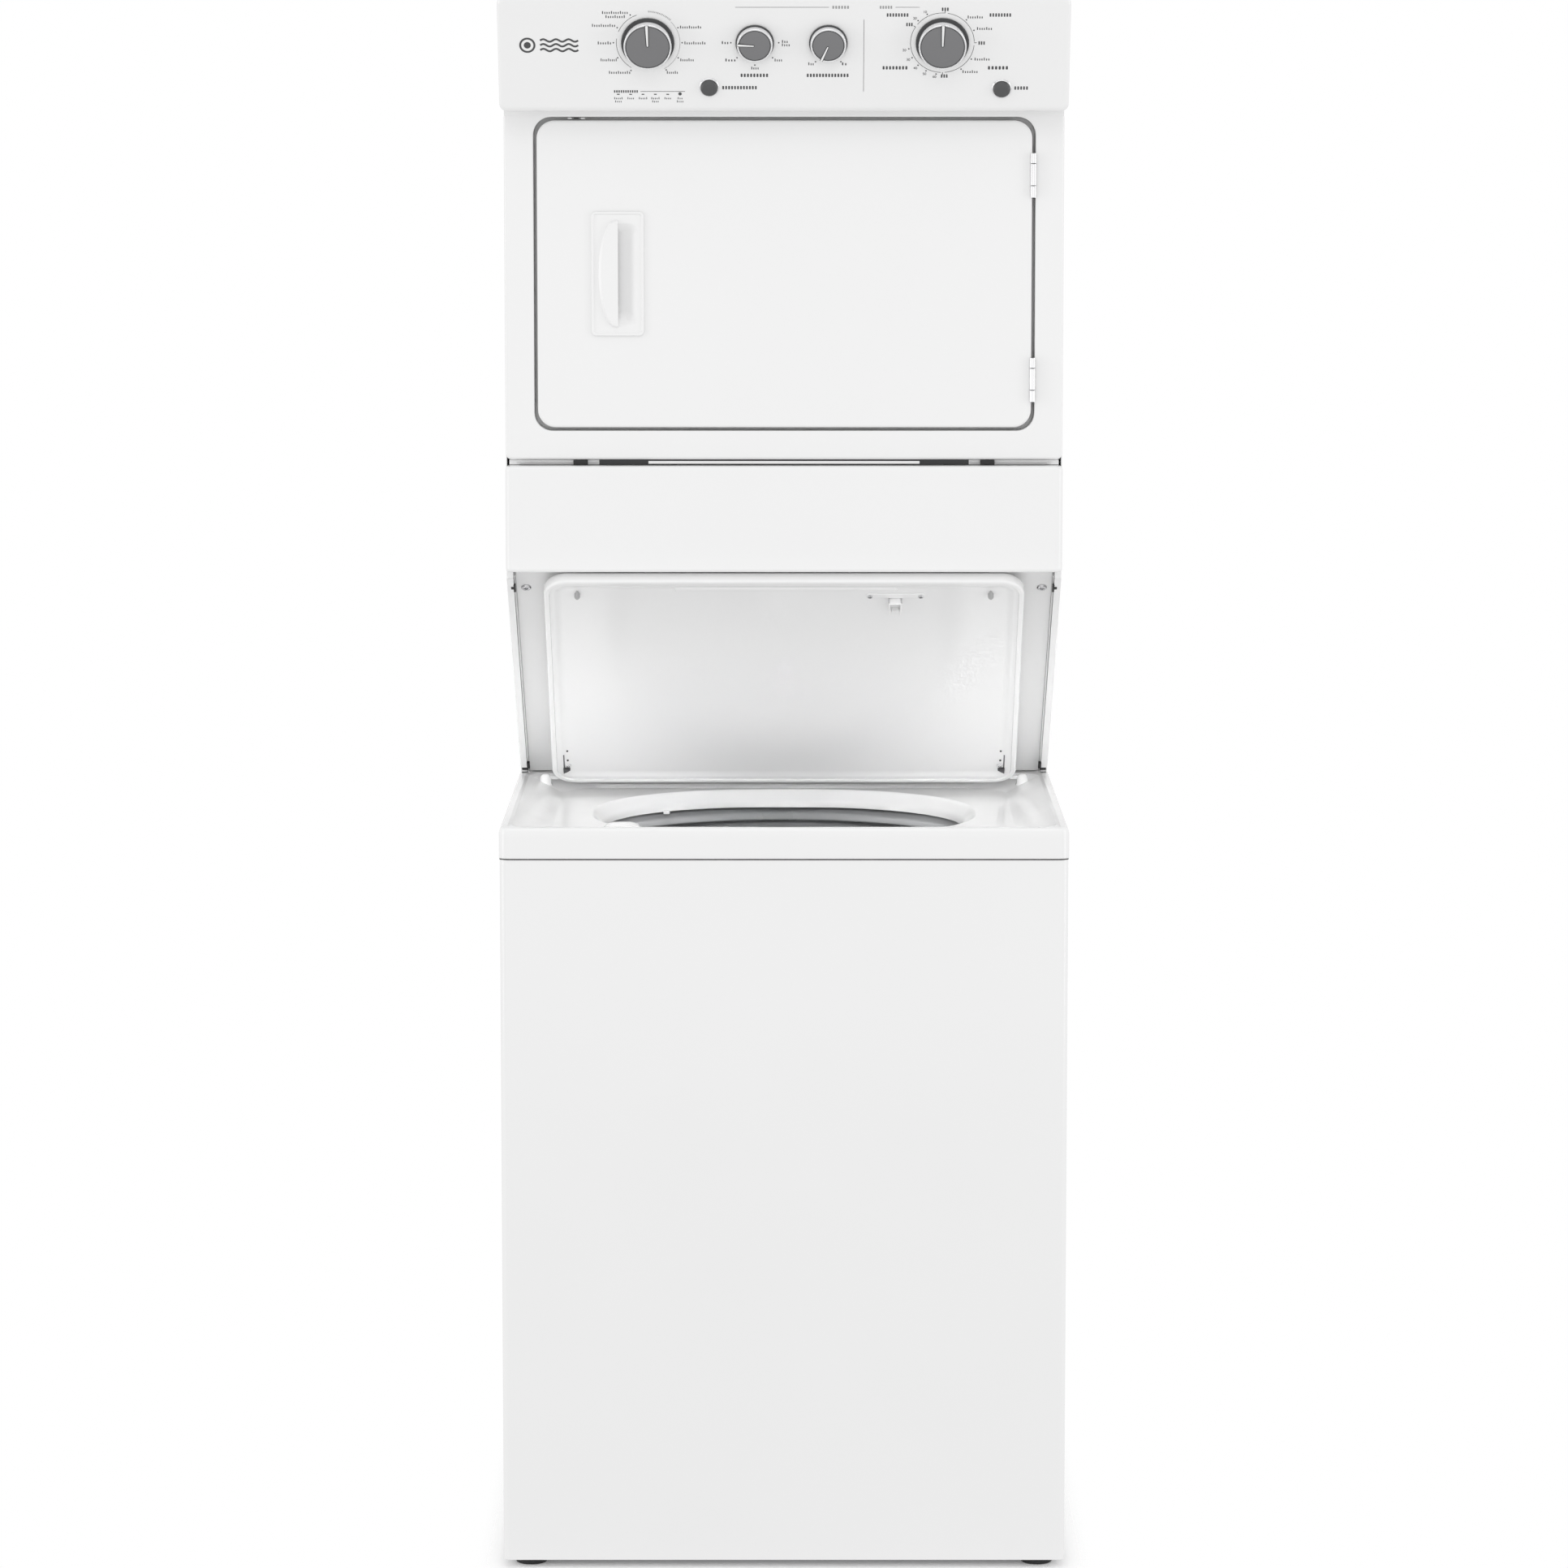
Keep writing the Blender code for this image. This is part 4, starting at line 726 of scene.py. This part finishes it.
def door_hinges():
    """Each has three knuckles, of which the middle one moves with the door."""
    at = at_setback(HINGE_X, HINGE_SETBACK)
    wall = RECESS_FLOOR - REST - HINGE_SETBACK
    inner, outer, gap, inset = 0.0016, 0.0036, 0.0004, 0.001
    for name, (low, high) in HINGE_SPANS.items():
        cuts = [low + share * (high - low) for share in (0, 0.27, 0.76, 1)]
        for i, (z0, z1) in enumerate(zip(cuts, cuts[1:])):
            profile = soften([(inner, z0 + gap, 0), (outer, z0 + gap, 0.0006), (outer, z1 - gap, 0.0006),
                              (inner, z1 - gap, 0)], 3)
            knuckle = turned(profile, at, 32)
            if i == 1:
                leaf = slab((-0.003, 0.002, z0 + inset), (-0.0022, 0.018, z1 - inset), at)
                piece(f"door_knuckle_{name}", "chrome", knuckle, leaf, body="dryer_door")
                continue
            leaf = slab((-0.0006, 0.003, z0 + inset), (0.0006, wall, z1 - inset), at)
            piece(f"door_hinge_{name}_" + ("head" if i else "foot"), "chrome", knuckle, leaf,
                  node=None if i else f"door_hinge_{name}")


def door_catch():
    """Seen in the gap above the door."""
    z = DOOR_CENTRE[1] + DOOR_SIZE[1] / 2 + 0.0018
    screws = (screw(at_setback(x, RECESS_FLOOR - 0.016, z), 0.003, 0.0014) for x in (-0.262, -0.246))
    piece("door_catch_screws", "white_plastic", *screws)
    # The catch's slot is a black slab: painted shade standing for the dark inside of the slot.
    piece("door_catch_slot_shade", "black", slab((-0.257, 0.18, z), (-0.251, 0.19, z + 0.001)), bevel=0.0003)


def drum_inside():
    """The drum's baffles, and the rear wall that the hot air comes through."""
    baffles = []
    for degrees in (30, 150, 270):
        loops = []
        for setback, wide, crest in ((0.345, 0.022, 0.259), (0.362, 0.034, 0.245), (0.628, 0.034, 0.245),
                                     (0.65, 0.022, 0.259)):
            slant = crest + 0.002
            loops.append([(radius, wide * share, -setback) for share, radius in (
                (-0.5, 0.268), (-0.34, slant), (-0.16, crest), (0.16, crest), (0.34, slant), (0.5, 0.268))])
        baffles.append(skin(loops, at=at_front(0, 0, DRUM_Z) @ turn(math.radians(degrees), "Z")))
    piece("drum_baffles", "white_plastic", *baffles, body="drum", bevel=0.0025)

    at = at_front(0, DRUM_BACK, DRUM_Z)
    hub = soften([(0.056, 0, 0), (0.05, 0.006, 0.004), (0.02, 0.009, 0.006), (0.002, 0.0095, 0)])
    rib = soften([(0.226, 0, 0), (0.221, 0.005, 0.003), (0.211, 0.005, 0.003), (0.206, 0, 0)], 4)
    piece("drum_pressings", "enamel", turned(hub, at, 64), turned(rib, at, 96, ring=True), body="drum")
    # The air holes are black discs: painted shade standing for the dark inside of each hole.
    pitch, hole_shades = 0.018, []
    for ring in range(6):
        radius = 5 * pitch + pitch * ring
        count = round(2 * math.pi * radius / pitch)
        for i in range(count):
            place = move(*polar(radius, 2 * math.pi * (i + 0.5 * (ring % 2)) / count))
            hole_shades.append(disc(0.003, 0, 0.0007, at @ place, 10))
    piece("drum_air_hole_shade", "black", *hole_shades, body="drum")


def panel_gap():
    """What shows in the gaps above and below the dryer's front. In the lower gap the dark grey backing and
    the black blocks are painted shade: the shade deep in the gap, and in the holes seen through it.
    """
    back = CONSOLE_BACK
    rails = [slab((-0.167, 0.1775, 1.3478), (0.167, back, 1.3512))]
    for side in (-1, 1):
        rails += [slab((side * 0.2276, 0.183, 1.3465), (side * 0.3385, back, 1.3525)),
                  slab((side * 0.229, 0.181, 1.349), (side * 0.33, 0.184, 1.3497))]
    piece("gap_rails", "enamel", *rails, bevel=0.0003)
    # Painted shade: a dark grey sheet standing for the shade deep in the gap.
    piece("gap_painted_shade", "knob_dark", slab((-0.2276, 0.1835, 1.3465), (0.2276, 0.186, 1.3525)))
    # Painted shade: black blocks standing for the shade in the holes seen through the gap.
    piece("gap_hole_shade", "black", bevel=0.0004,
          *(slab((x - 0.0088, 0.1775, 1.3466), (x + 0.0088, back, 1.3524)) for x in (-0.2505, 0.2505)))
    piece("console_joint", "enamel", slab((-0.3415, 0.17575, 1.7736), (0.3415, back, 1.7802)), bevel=0.0002)


def dryer_top():
    low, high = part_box("dryer_top_panel")
    size = (high.x - low.x, high.y - low.y)
    centre = ((low.x + high.x) / 2, SKIN_FRONT + size[1] / 2)
    edge = soften([(0.004, low.z, 0), (0, low.z, 0.0008), (0, high.z, 0.002), (0.02, high.z, 0)], 4)
    loops = [level(z, rounded(centre, size, 0.006, grow=-inset)) for inset, z in edge]
    piece("dryer_top_sheet", "enamel", skin(loops), node="dryer_top_panel")


# ---- Console ----


def console():
    low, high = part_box("console_shell")
    centre, size = (0, (low.z + high.z) / 2), (high.x - low.x, high.z - low.z)

    def edge(inset):
        return rounded(centre, size, 0.009 + 0.4 * inset, grow=-inset)

    def lean(inset, behind):
        return [(x, face_setback(z) + behind, z) for x, z in edge(inset)]

    thick = 0.003
    loops = [lean(thick, thick), upright(CONSOLE_BACK, edge(thick)), upright(CONSOLE_BACK, edge(0))]
    rows = soften([(0, 0.03, 0), (0, 0, 0.0065), (0.03, 0, 0)], 8)
    loops += [lean(inset, behind) for inset, behind in rows[1:-1]]
    piece("console_housing", "enamel", skin(loops), node="console_shell")
    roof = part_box("dryer_top_panel")[1].z
    strip = slab((-0.34, CONSOLE_BACK - SHEET, roof - 0.006), (0.34, CONSOLE_BACK, high.z - 0.0025))
    piece("console_back_strip", "enamel", strip)


def knob(node, x, radius, skirt, height, degrees):
    """degrees is the angle of its line, anticlockwise from the right."""
    at = at_console(x, KNOB_Z)
    face = height - 0.0006

    def part(name, kind, steps, *stations, **options):
        piece(f"{node}_{name}", kind, turned(soften(stations, steps), at, 96), body=node, **options)

    part("skirt", "knob_dark", 4, (0.003, -0.009, 0), (0.003, 0.0007, 0), (skirt, 0.0007, 0.0004),
         (skirt, 0.0028, 0.0012), (radius + 0.0008, 0.004, 0), node=node)
    part("ring", "chrome", 5, (radius - 0.002, 0.0038, 0), (radius + 0.0006, 0.0038, 0.0004),
         (radius, height, 0.0016), (radius - 0.0016, height, 0.0004), (radius - 0.002, height - 0.0008, 0))
    # The groove is a flush dark band: painted shade standing for the shade in the groove between the ring and
    # the cap.
    part("groove_shade", "knob_dark", 3, (radius - 0.002, face - 0.0006, 0), (radius - 0.0022, face, 0.0003),
         (radius - 0.0032, face, 0.0003), (radius - 0.0034, face - 0.0004, 0))
    part("cap", "knob_grey", 4, (radius - 0.003, face - 0.0005, 0), (radius - 0.0032, face + 0.0002, 0.0004),
         (radius * 0.6, face + 0.0007, 0.004), (0.0008, face + 0.0009, 0))
    start, end = 0.08 * radius, radius - 0.0008
    for name, kind, grow, top in (("shade", "knob_dark", radius / 30, 0.0012),
                                  ("line", "white_plastic", 0, 0.0016)):
        inner, outer = radius * 0.03 + grow, radius * 0.056 + grow
        outline = [(end + grow * 0.3, -outer), (end + grow * 0.3, outer)]
        for i in range(9):
            px, py = polar(inner, QUARTER * (1 + i / 4))
            outline.append((start + px, py))
        strip = plate(outline, face - 0.0002, face + top, at @ turn(math.radians(degrees), "Z"))
        piece(f"{node}_{name}", kind, strip, body=node)


def button(node, x, z):
    radius = 0.0103
    at = at_console(x, z)
    cap = soften([(radius - 0.0006, -0.006, 0), (radius - 0.0002, 0.003, 0.001),
                  (radius - 0.003, 0.0048, 0.002), (0.0005, 0.0056, 0)], 6)
    piece(f"{node}_cap", "button_grey", turned(cap, at, 64), body=node, node=node)
    surround = soften([(radius + 0.0004, 0.0002, 0), (radius + 0.0004, 0.0016, 0.0003),
                       (radius + 0.0012, 0.0016, 0.0004), (radius + 0.002, 0.0002, 0)], 3)
    piece(f"{node}_surround", "chrome", turned(surround, at, 64, ring=True))


def controls():
    big, small = (0.0289, 0.0322, 0.0155), (0.0215, 0.0233, 0.0105)
    knob("cycle_knob", KNOB_X[0], *big, 92)
    knob("temperature_knob", KNOB_X[1], *small, 177)
    knob("softener_knob", KNOB_X[2], *small, 246)
    knob("timer_knob", KNOB_X[3], *big, 89)
    button("washer_start_button", -0.0907, 1.8087)
    button("dryer_start_button", 0.2639, 1.8071)


INK = (0.00012, 0.00018)  # the heights of the print's underside and face, above the console


def bar(x, z, wide, tall):
    return plate(rounded((0, 0), (wide, tall), min(wide, tall) * 0.3, 2), *INK, at_console(x, z))


def label(left, right, z, strokes, tall=0.0037, bold=False):
    """A word, shown as a row of short strokes and never as letters."""
    pitch = (right - left) / strokes
    bars = []
    for i in range(strokes):
        share = 1 if bold or i % 4 == 0 else 0.72
        x = left + (i + 0.5) * pitch
        bars.append(bar(x, z - tall * (1 - share) / 2, pitch * (0.58 if bold else 0.42), tall * share))
    return bars


def ribbon(at, line, wide):
    """A flat ribbon along a line of local points."""
    line = [Vector(point) for point in line]
    loops = []
    for i, here in enumerate(line):
        course = line[min(i + 1, len(line) - 1)] - line[max(i - 1, 0)]
        across = course.normalized().orthogonal() * wide / 2
        left, right = here + across, here - across
        loops.append([(*left, INK[0]), (*right, INK[0]), (*right, INK[1]), (*left, INK[1])])
    return skin(loops, at=at)


def arc(x, radius, start, end, wide):
    """Round a knob, with its angles in degrees."""
    steps = max(6, int(abs(end - start) / 4))
    line = [polar(radius, math.radians(start + (end - start) * i / steps)) for i in range(steps + 1)]
    return ribbon(at_console(x, KNOB_Z), line, wide)


def dots(x, radius, degrees):
    at = at_console(x, KNOB_Z)
    return [disc(0.0009, *INK, at @ move(*polar(radius, math.radians(angle))), 16) for angle in degrees]


def scales(dark, pale):
    """The dots, arcs and marks round the knobs."""
    cycle, wash, softener, dry = KNOB_X
    dark += dots(cycle, 0.0415, (120, 152, 180, 208, 240, 302, 332, 0, 28))
    dark += [arc(cycle, 0.038, start, end, 0.0005) for start, end in ((110, 158), (172, 238))]
    pale += [arc(cycle, 0.039, -60, 44, 0.0004)]
    for i in range(16):
        place = move(*polar(0.0403, math.radians(88 - i * 2.7))) @ turn(math.radians(-2 - i * 2.7), "Z")
        outline = rounded((0, 0), (0.0009, 0.0019 if i % 3 else 0.0024), 0.0002, 2)
        pale.append(plate(outline, *INK, at_console(cycle, KNOB_Z) @ place))
    dark += dots(wash, 0.029, (180, 222, 270, 318, 0))
    dark += dots(softener, 0.029, (238, 302))
    for start, end in ((2, 81), (86, 142), (148, 268), (275, 355)):
        dark.append(arc(dry, 0.0385, start, end, 0.00055))
    for angle in (math.radians(a) for a in (0, 86, 148, 271)):
        tick = [polar(0.0383 + along, angle) for along in (0, 0.0032)]
        dark.append(ribbon(at_console(dry, KNOB_Z), tick, 0.0007))
    dark += dots(dry, 0.0412, (23, 46, 117, 136, 191, 208, 225, 242, 260, 304, 329))


def words(dark, pale):
    """Each word's row is its left end, right end, height and number of strokes."""
    for row in (
        (-0.2198, -0.1875, 1.8987, 12), (-0.2157, -0.1911, 1.8938, 9), (-0.2322, -0.203, 1.8833, 11),
        (-0.2257, -0.2081, 1.8623, 6), (-0.2223, -0.2018, 1.842, 9), (-0.2126, -0.1855, 1.8269, 10),
        (-0.1424, -0.128, 1.8269, 6), (-0.126, -0.1086, 1.842, 7), (-0.1209, -0.0943, 1.8623, 10),
        (-0.126, -0.0994, 1.8813, 10),
        (-0.076, -0.0663, 1.8627, 3), (-0.0718, -0.0579, 1.8418, 4), (-0.0403, -0.0301, 1.8321, 4),
        (-0.012, -0.0018, 1.8418, 4), (-0.0032, 0.0052, 1.864, 3), (-0.0032, 0.0075, 1.86, 4),
        (0.0288, 0.0366, 1.8372, 3), (0.0691, 0.0765, 1.8372, 2),
        (0.2205, 0.2401, 1.8933, 7), (0.232, 0.2514, 1.8796, 7), (0.2297, 0.2491, 1.8429, 7),
        (0.2154, 0.235, 1.8278, 7),
    ):
        dark += label(*row)
    for row in (
        (-0.0755, -0.0324, 1.8085, 12), (-0.0533, -0.0186, 1.8233, 9), (0.0269, 0.0788, 1.8233, 14),
        (0.1231, 0.1504, 1.8957, 8), (0.247, 0.2741, 1.8957, 8), (0.1185, 0.15, 1.8324, 8),
        (0.2459, 0.2718, 1.8324, 6), (0.2786, 0.2963, 1.808, 5), (0.1894, 0.1988, 1.9025, 3),
        (0.1468, 0.1556, 1.8843, 3), (0.2342, 0.243, 1.8622, 3), (0.1894, 0.1986, 1.8225, 3),
    ):
        dark += label(*row, 0.0044, bold=True)
    pale += label(0.0575, 0.0788, 1.9049, 6, 0.0038, bold=True)
    pale += label(0.1147, 0.1308, 1.9049, 5, 0.0038, bold=True)
    pale += [bar(-0.0022, 1.9049, 0.1131, 0.0006), bar(0.1486, 1.9049, 0.0292, 0.0006),
             bar(0.0964, 1.8471, 0.0006, 0.0936)]


def status_row(dark):
    """The row of lamps below the cycle knob."""
    dark += label(-0.2067, -0.1767, 1.8039, 11, 0.0033, bold=True)
    dark.append(bar(-0.1471, 1.8039, 0.0542, 0.0005))
    for i, strokes in enumerate((5, 4, 5, 5, 4, 3)):
        x = -0.201 + 0.01498 * i
        dark.append(bar(x, 1.8004, 0.0033, 0.0013) if i < 5 else disc(0.0021, *INK, at_console(x, 1.801), 20))
        half = 0.0011 * strokes
        dark += label(x - half, x + half, 1.7957, strokes, 0.0029)
        if i in (0, 3, 5):
            dark += label(x - 0.0044, x + 0.0044, 1.7919, 4, 0.0027)


def emblem(dark):
    """A plain one: a drum's ring beside a row of waves."""
    at = at_console(-0.31, 1.8595)
    low, high = INK
    outer, inner = 0.0098, 0.0074
    dark += [turned(((outer, low), (outer, high), (inner, high), (inner, low)), at, ring=True),
             disc(0.0042, low, high, at, 48)]
    for row in (-0.0062, 0, 0.0062):
        wave = [(0.0155 + 0.046 * i / 48, row + 0.0016 * math.sin(i / 48 * 6 * math.pi)) for i in range(49)]
        dark.append(ribbon(at, wave, 0.0024))


def printed():
    """The console's scales and labels."""
    dark, pale = [], []
    scales(dark, pale)
    words(dark, pale)
    status_row(dark)
    emblem(dark)
    piece("console_print", "ink", *dark)
    piece("console_print_pale", "pale_ink", *pale)
    for number, (text, x, z) in enumerate((
        ("10", 0.1698, 1.8991), ("20", 0.1577, 1.8916), ("20", 0.1454, 1.8535), ("30", 0.1502, 1.8421),
        ("40", 0.1589, 1.8319), ("50", 0.17, 1.825), ("60", 0.1821, 1.8216),
    )):
        curve = bpy.data.curves.new("number", "FONT")
        curve.body, curve.size, curve.extrude = text, 0.0046, 0.00004
        curve.align_x = curve.align_y = "CENTER"
        shape = bpy.data.objects.new("number", curve)
        mesh = bpy.data.meshes.new_from_object(shape)
        bpy.data.objects.remove(shape)
        mesh.transform(at_console(x, z) @ move(0, 0, 0.00014))
        dress(f"timer_number_{number}", mesh, "ink", "cabinet")


# ---- Back and underside ----


def back_details():
    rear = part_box("dryer_rear_panel")[1].y - FRONT_Y
    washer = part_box("washer_rear_panel")[1].y - FRONT_Y
    edges = (-0.328, 0.328)
    places = [(x, rear, z) for z in (0.955, 1.2, 1.45, 1.7, 1.885) for x in edges]
    places += [(x, rear, z) for x in (-0.2, 0, 0.2) for z in (1.89, 0.935)]
    places += [(x, washer, z) for z in (0.08, 0.3, 0.52, 0.74, 0.86) for x in edges]
    piece("rear_screws", "steel", *(screw(at_rear(*place), 0.0045) for place in places))

    profile = soften([(0.015, 0, 0), (0.015, 0.003, 0.0008), (0.025, 0.003, 0.0012), (0.0265, 0, 0)], 4)
    piece("drum_bearing_ring", "steel", turned(profile, at_rear(0, rear, DRUM_Z), ring=True))
    slot = rounded((0, 0), (0.11, 0.0075), 0.0035, 5)
    louvre = ((1, 0), (0.97, 0.0016), (0.88, 0.0026, -0.0012))
    places = (at_rear(x, rear, 1.05 + 0.016 * row) for row in range(9) for x in (-0.1, 0.1))
    piece("rear_louvres", "zinc", *(tapered(slot, louvre, at) for at in places))
    cover = tapered(rounded((0, 0), (0.11, 0.07), 0.006, 5), ((1, 0), (1, 0.006), (0.95, 0.009)),
                    at_rear(-0.235, rear, 1.02))
    piece("terminal_cover", "zinc", cover, bevel=0.0006)
    rib = [level(z, rounded((0, 0), size, corner, 8)) for z, size, corner in (
        (0, (0.56, 0.52), 0.03), (0.0022, (0.553, 0.513), 0.028), (0.0022, (0.54, 0.5), 0.026),
        (0, (0.533, 0.493), 0.024))]
    piece("washer_rear_rib", "zinc", skin(rib, ring=True, at=at_rear(0, washer, 0.4)))
    water_valve()


def water_valve():
    base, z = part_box("water_valve")[0].y - FRONT_Y, 0.795
    block = tapered(rounded((0, 0), (0.1, 0.05), 0.006, 5), ((1, 0), (1, 0.018), (0.94, 0.022)),
                    at_rear(-0.07, base, z))
    piece("valve_body", "white_plastic", block, node="water_valve")
    profile = [(0.008, 0.05), (0.0112, 0.05)]
    for height in (0.0475 - thread * 0.0026 for thread in range(9)):
        profile += [(0.013, height), (0.0118, height - 0.0013)]
    profile += [(0.0118, 0.0215), (0.015, 0.0215), (0.015, 0.0185), (0.008, 0.0185), (0.008, 0.04)]
    for name, x in (("hot", -0.095), ("cold", -0.045)):
        piece(f"{name}_inlet", "white_plastic", turned(profile, at_rear(x, base, z), ring=True))


def feet():
    pad = soften([(0.002, 0, 0), (0.0185, 0, 0.0015), (0.02, 0.004, 0.002), (0.0165, 0.011, 0.002),
                  (0.008, 0.0125, 0)], 4)
    thread = [(0.0048, 0.011)]
    for z in (0.0125 + i * 0.0016 for i in range(7)):
        thread += [(0.0062, z), (0.0054, z + 0.0008)]
    thread.append((0.0054, 0.0238))
    nut = [polar(0.0105, angle) for angle in around(6)]
    for number in range(1, 5):
        node = f"levelling_foot_{number}"
        low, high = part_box(node)
        at = move((low.x + high.x) / 2, (low.y + high.y) / 2)
        piece(f"foot_pad_{number}", "rubber", turned(pad, at, 40), node=node)
        piece(f"foot_screw_{number}", "steel", turned(thread, at, 24), plate(nut, 0.015, 0.02, at))


# ---- Stage ----


def ground():
    """A patch of white floor that fades out just beyond the washer, leaving its contact shadow."""
    bm = bmesh.new()
    bmesh.ops.create_grid(bm, x_segments=1, y_segments=1, size=0.6)
    mesh = bpy.data.meshes.new("floor")
    bm.to_mesh(mesh)
    bm.free()
    floor = add_object("floor", mesh)
    floor.location.y = front(WASHER_DEPTH / 2)
    material = bpy.data.materials.new("floor")
    material.use_nodes = True
    tree = material.node_tree
    shader = fill(tree.nodes["Principled BSDF"], Base_Color=(0.9, 0.9, 0.9, 1), Roughness=0.9,
                  Specular_IOR_Level=0, Emission_Color=(1, 1, 1, 1), Emission_Strength=0.12)
    vector = partial(compute, tree, "VectorMath")
    place = tree.nodes.new("ShaderNodeTexCoord").outputs["Object"]
    beyond = vector("SUBTRACT", vector("ABSOLUTE", place), (0.33, 0.3575, 0))
    away = vector("LENGTH", vector("MAXIMUM", beyond, (0, 0, 0)))
    fade = add_node(tree, "ShaderNodeMapRange", From_Min=0, From_Max=0.055, To_Min=1, To_Max=0)
    fade.interpolation_type = "SMOOTHSTEP"
    tree.links.new(away, fade.inputs["Value"])
    tree.links.new(fade.outputs["Result"], shader.inputs["Alpha"])
    mesh.materials.append(material)


def softbox(name, place, target, size, power, beam=180):
    """A beam narrower than 90 degrees leaves no reflection."""
    light = bpy.data.lights.new(name, "AREA")
    light.shape = "RECTANGLE"
    light.size, light.size_y = size
    light.energy = power
    light.spread = math.radians(beam)
    made = add_object(name, light)
    made.location = place
    made.rotation_euler = (Vector(target) - Vector(place)).to_track_quat("-Z", "Y").to_euler()
    made.visible_camera = False
    made.visible_glossy = beam > 90


def studio():
    """White to the camera, and softer on the object so that the softboxes can shape it."""
    scene = bpy.context.scene
    scene.world = bpy.data.worlds.new("studio")
    scene.world.use_nodes = True
    tree = scene.world.node_tree
    link = tree.links.new
    white = (1, 1, 1, 1)
    around_it = fill(tree.nodes["Background"], Color=white, Strength=AMBIENT)
    seen = add_node(tree, "ShaderNodeBackground", Color=white, Strength=1)
    choose = tree.nodes.new("ShaderNodeMixShader")
    link(tree.nodes.new("ShaderNodeLightPath").outputs["Is Camera Ray"], choose.inputs["Fac"])
    link(around_it.outputs["Background"], choose.inputs[1])
    link(seen.outputs["Background"], choose.inputs[2])
    link(choose.outputs["Shader"], tree.nodes["World Output"].inputs["Surface"])
    scene.view_settings.view_transform = "Standard"

    softbox("key", (0, -3.6, 4.2), (0, 0, 0.95), (3.5, 1.6), 14)
    softbox("overhead", (-0.4, -1.2, 4.4), (0, 0, 0.9), (3.0, 2.4), 8)
    softbox("front_fill", (0, -4.6, 0.9), (0, 0, 1), (4.5, 2.0), 9)
    for name, side in SIDES:
        softbox(f"{name}_strip", (side * 3.2, -1.4, 1.5), (0, 0, 1), (0.9, 2.8), 16)
    softbox("alcove_fill", (0, front(-1), 1.3), (0, front(0.35), 1.02), (0.84, 0.16), 0.26, 10)
    softbox("deck_fill", (0, front(-1), 2.02), (0, front(0.3), 0.88), (0.72, 0.2), 0.15, 8)
    softbox("tub_fill", (0, front(0.3), 0.874), (0, front(0.3), 1), (0.4, 0.34), 0.16)

    camera = bpy.data.cameras.new("camera")
    camera.sensor_width = 36.0
    camera.lens = 133.95
    made = add_object("camera", camera)
    made.location = (0, front(-7.0), 1.8779)
    made.rotation_euler = (QUARTER - math.radians(7.365), 0, 0)
    scene.camera = made


def main():
    for row in frame["record"]["subparts"]:
        materials = frame["nodes"][row["node"]].data.materials
        materials.clear()
        materials.append(SLOT_LOOKS[row["material_slot"]])
    for make in (washer_cabinet, washer_deck, tub_and_basket, agitator, lid, slope, mid_panel, dryer_front,
                 dryer_door, door_handle, door_hinges, door_catch, drum_inside, panel_gap, dryer_top, console,
                 controls, printed, back_details, feet, ground, studio):
        make()


main()
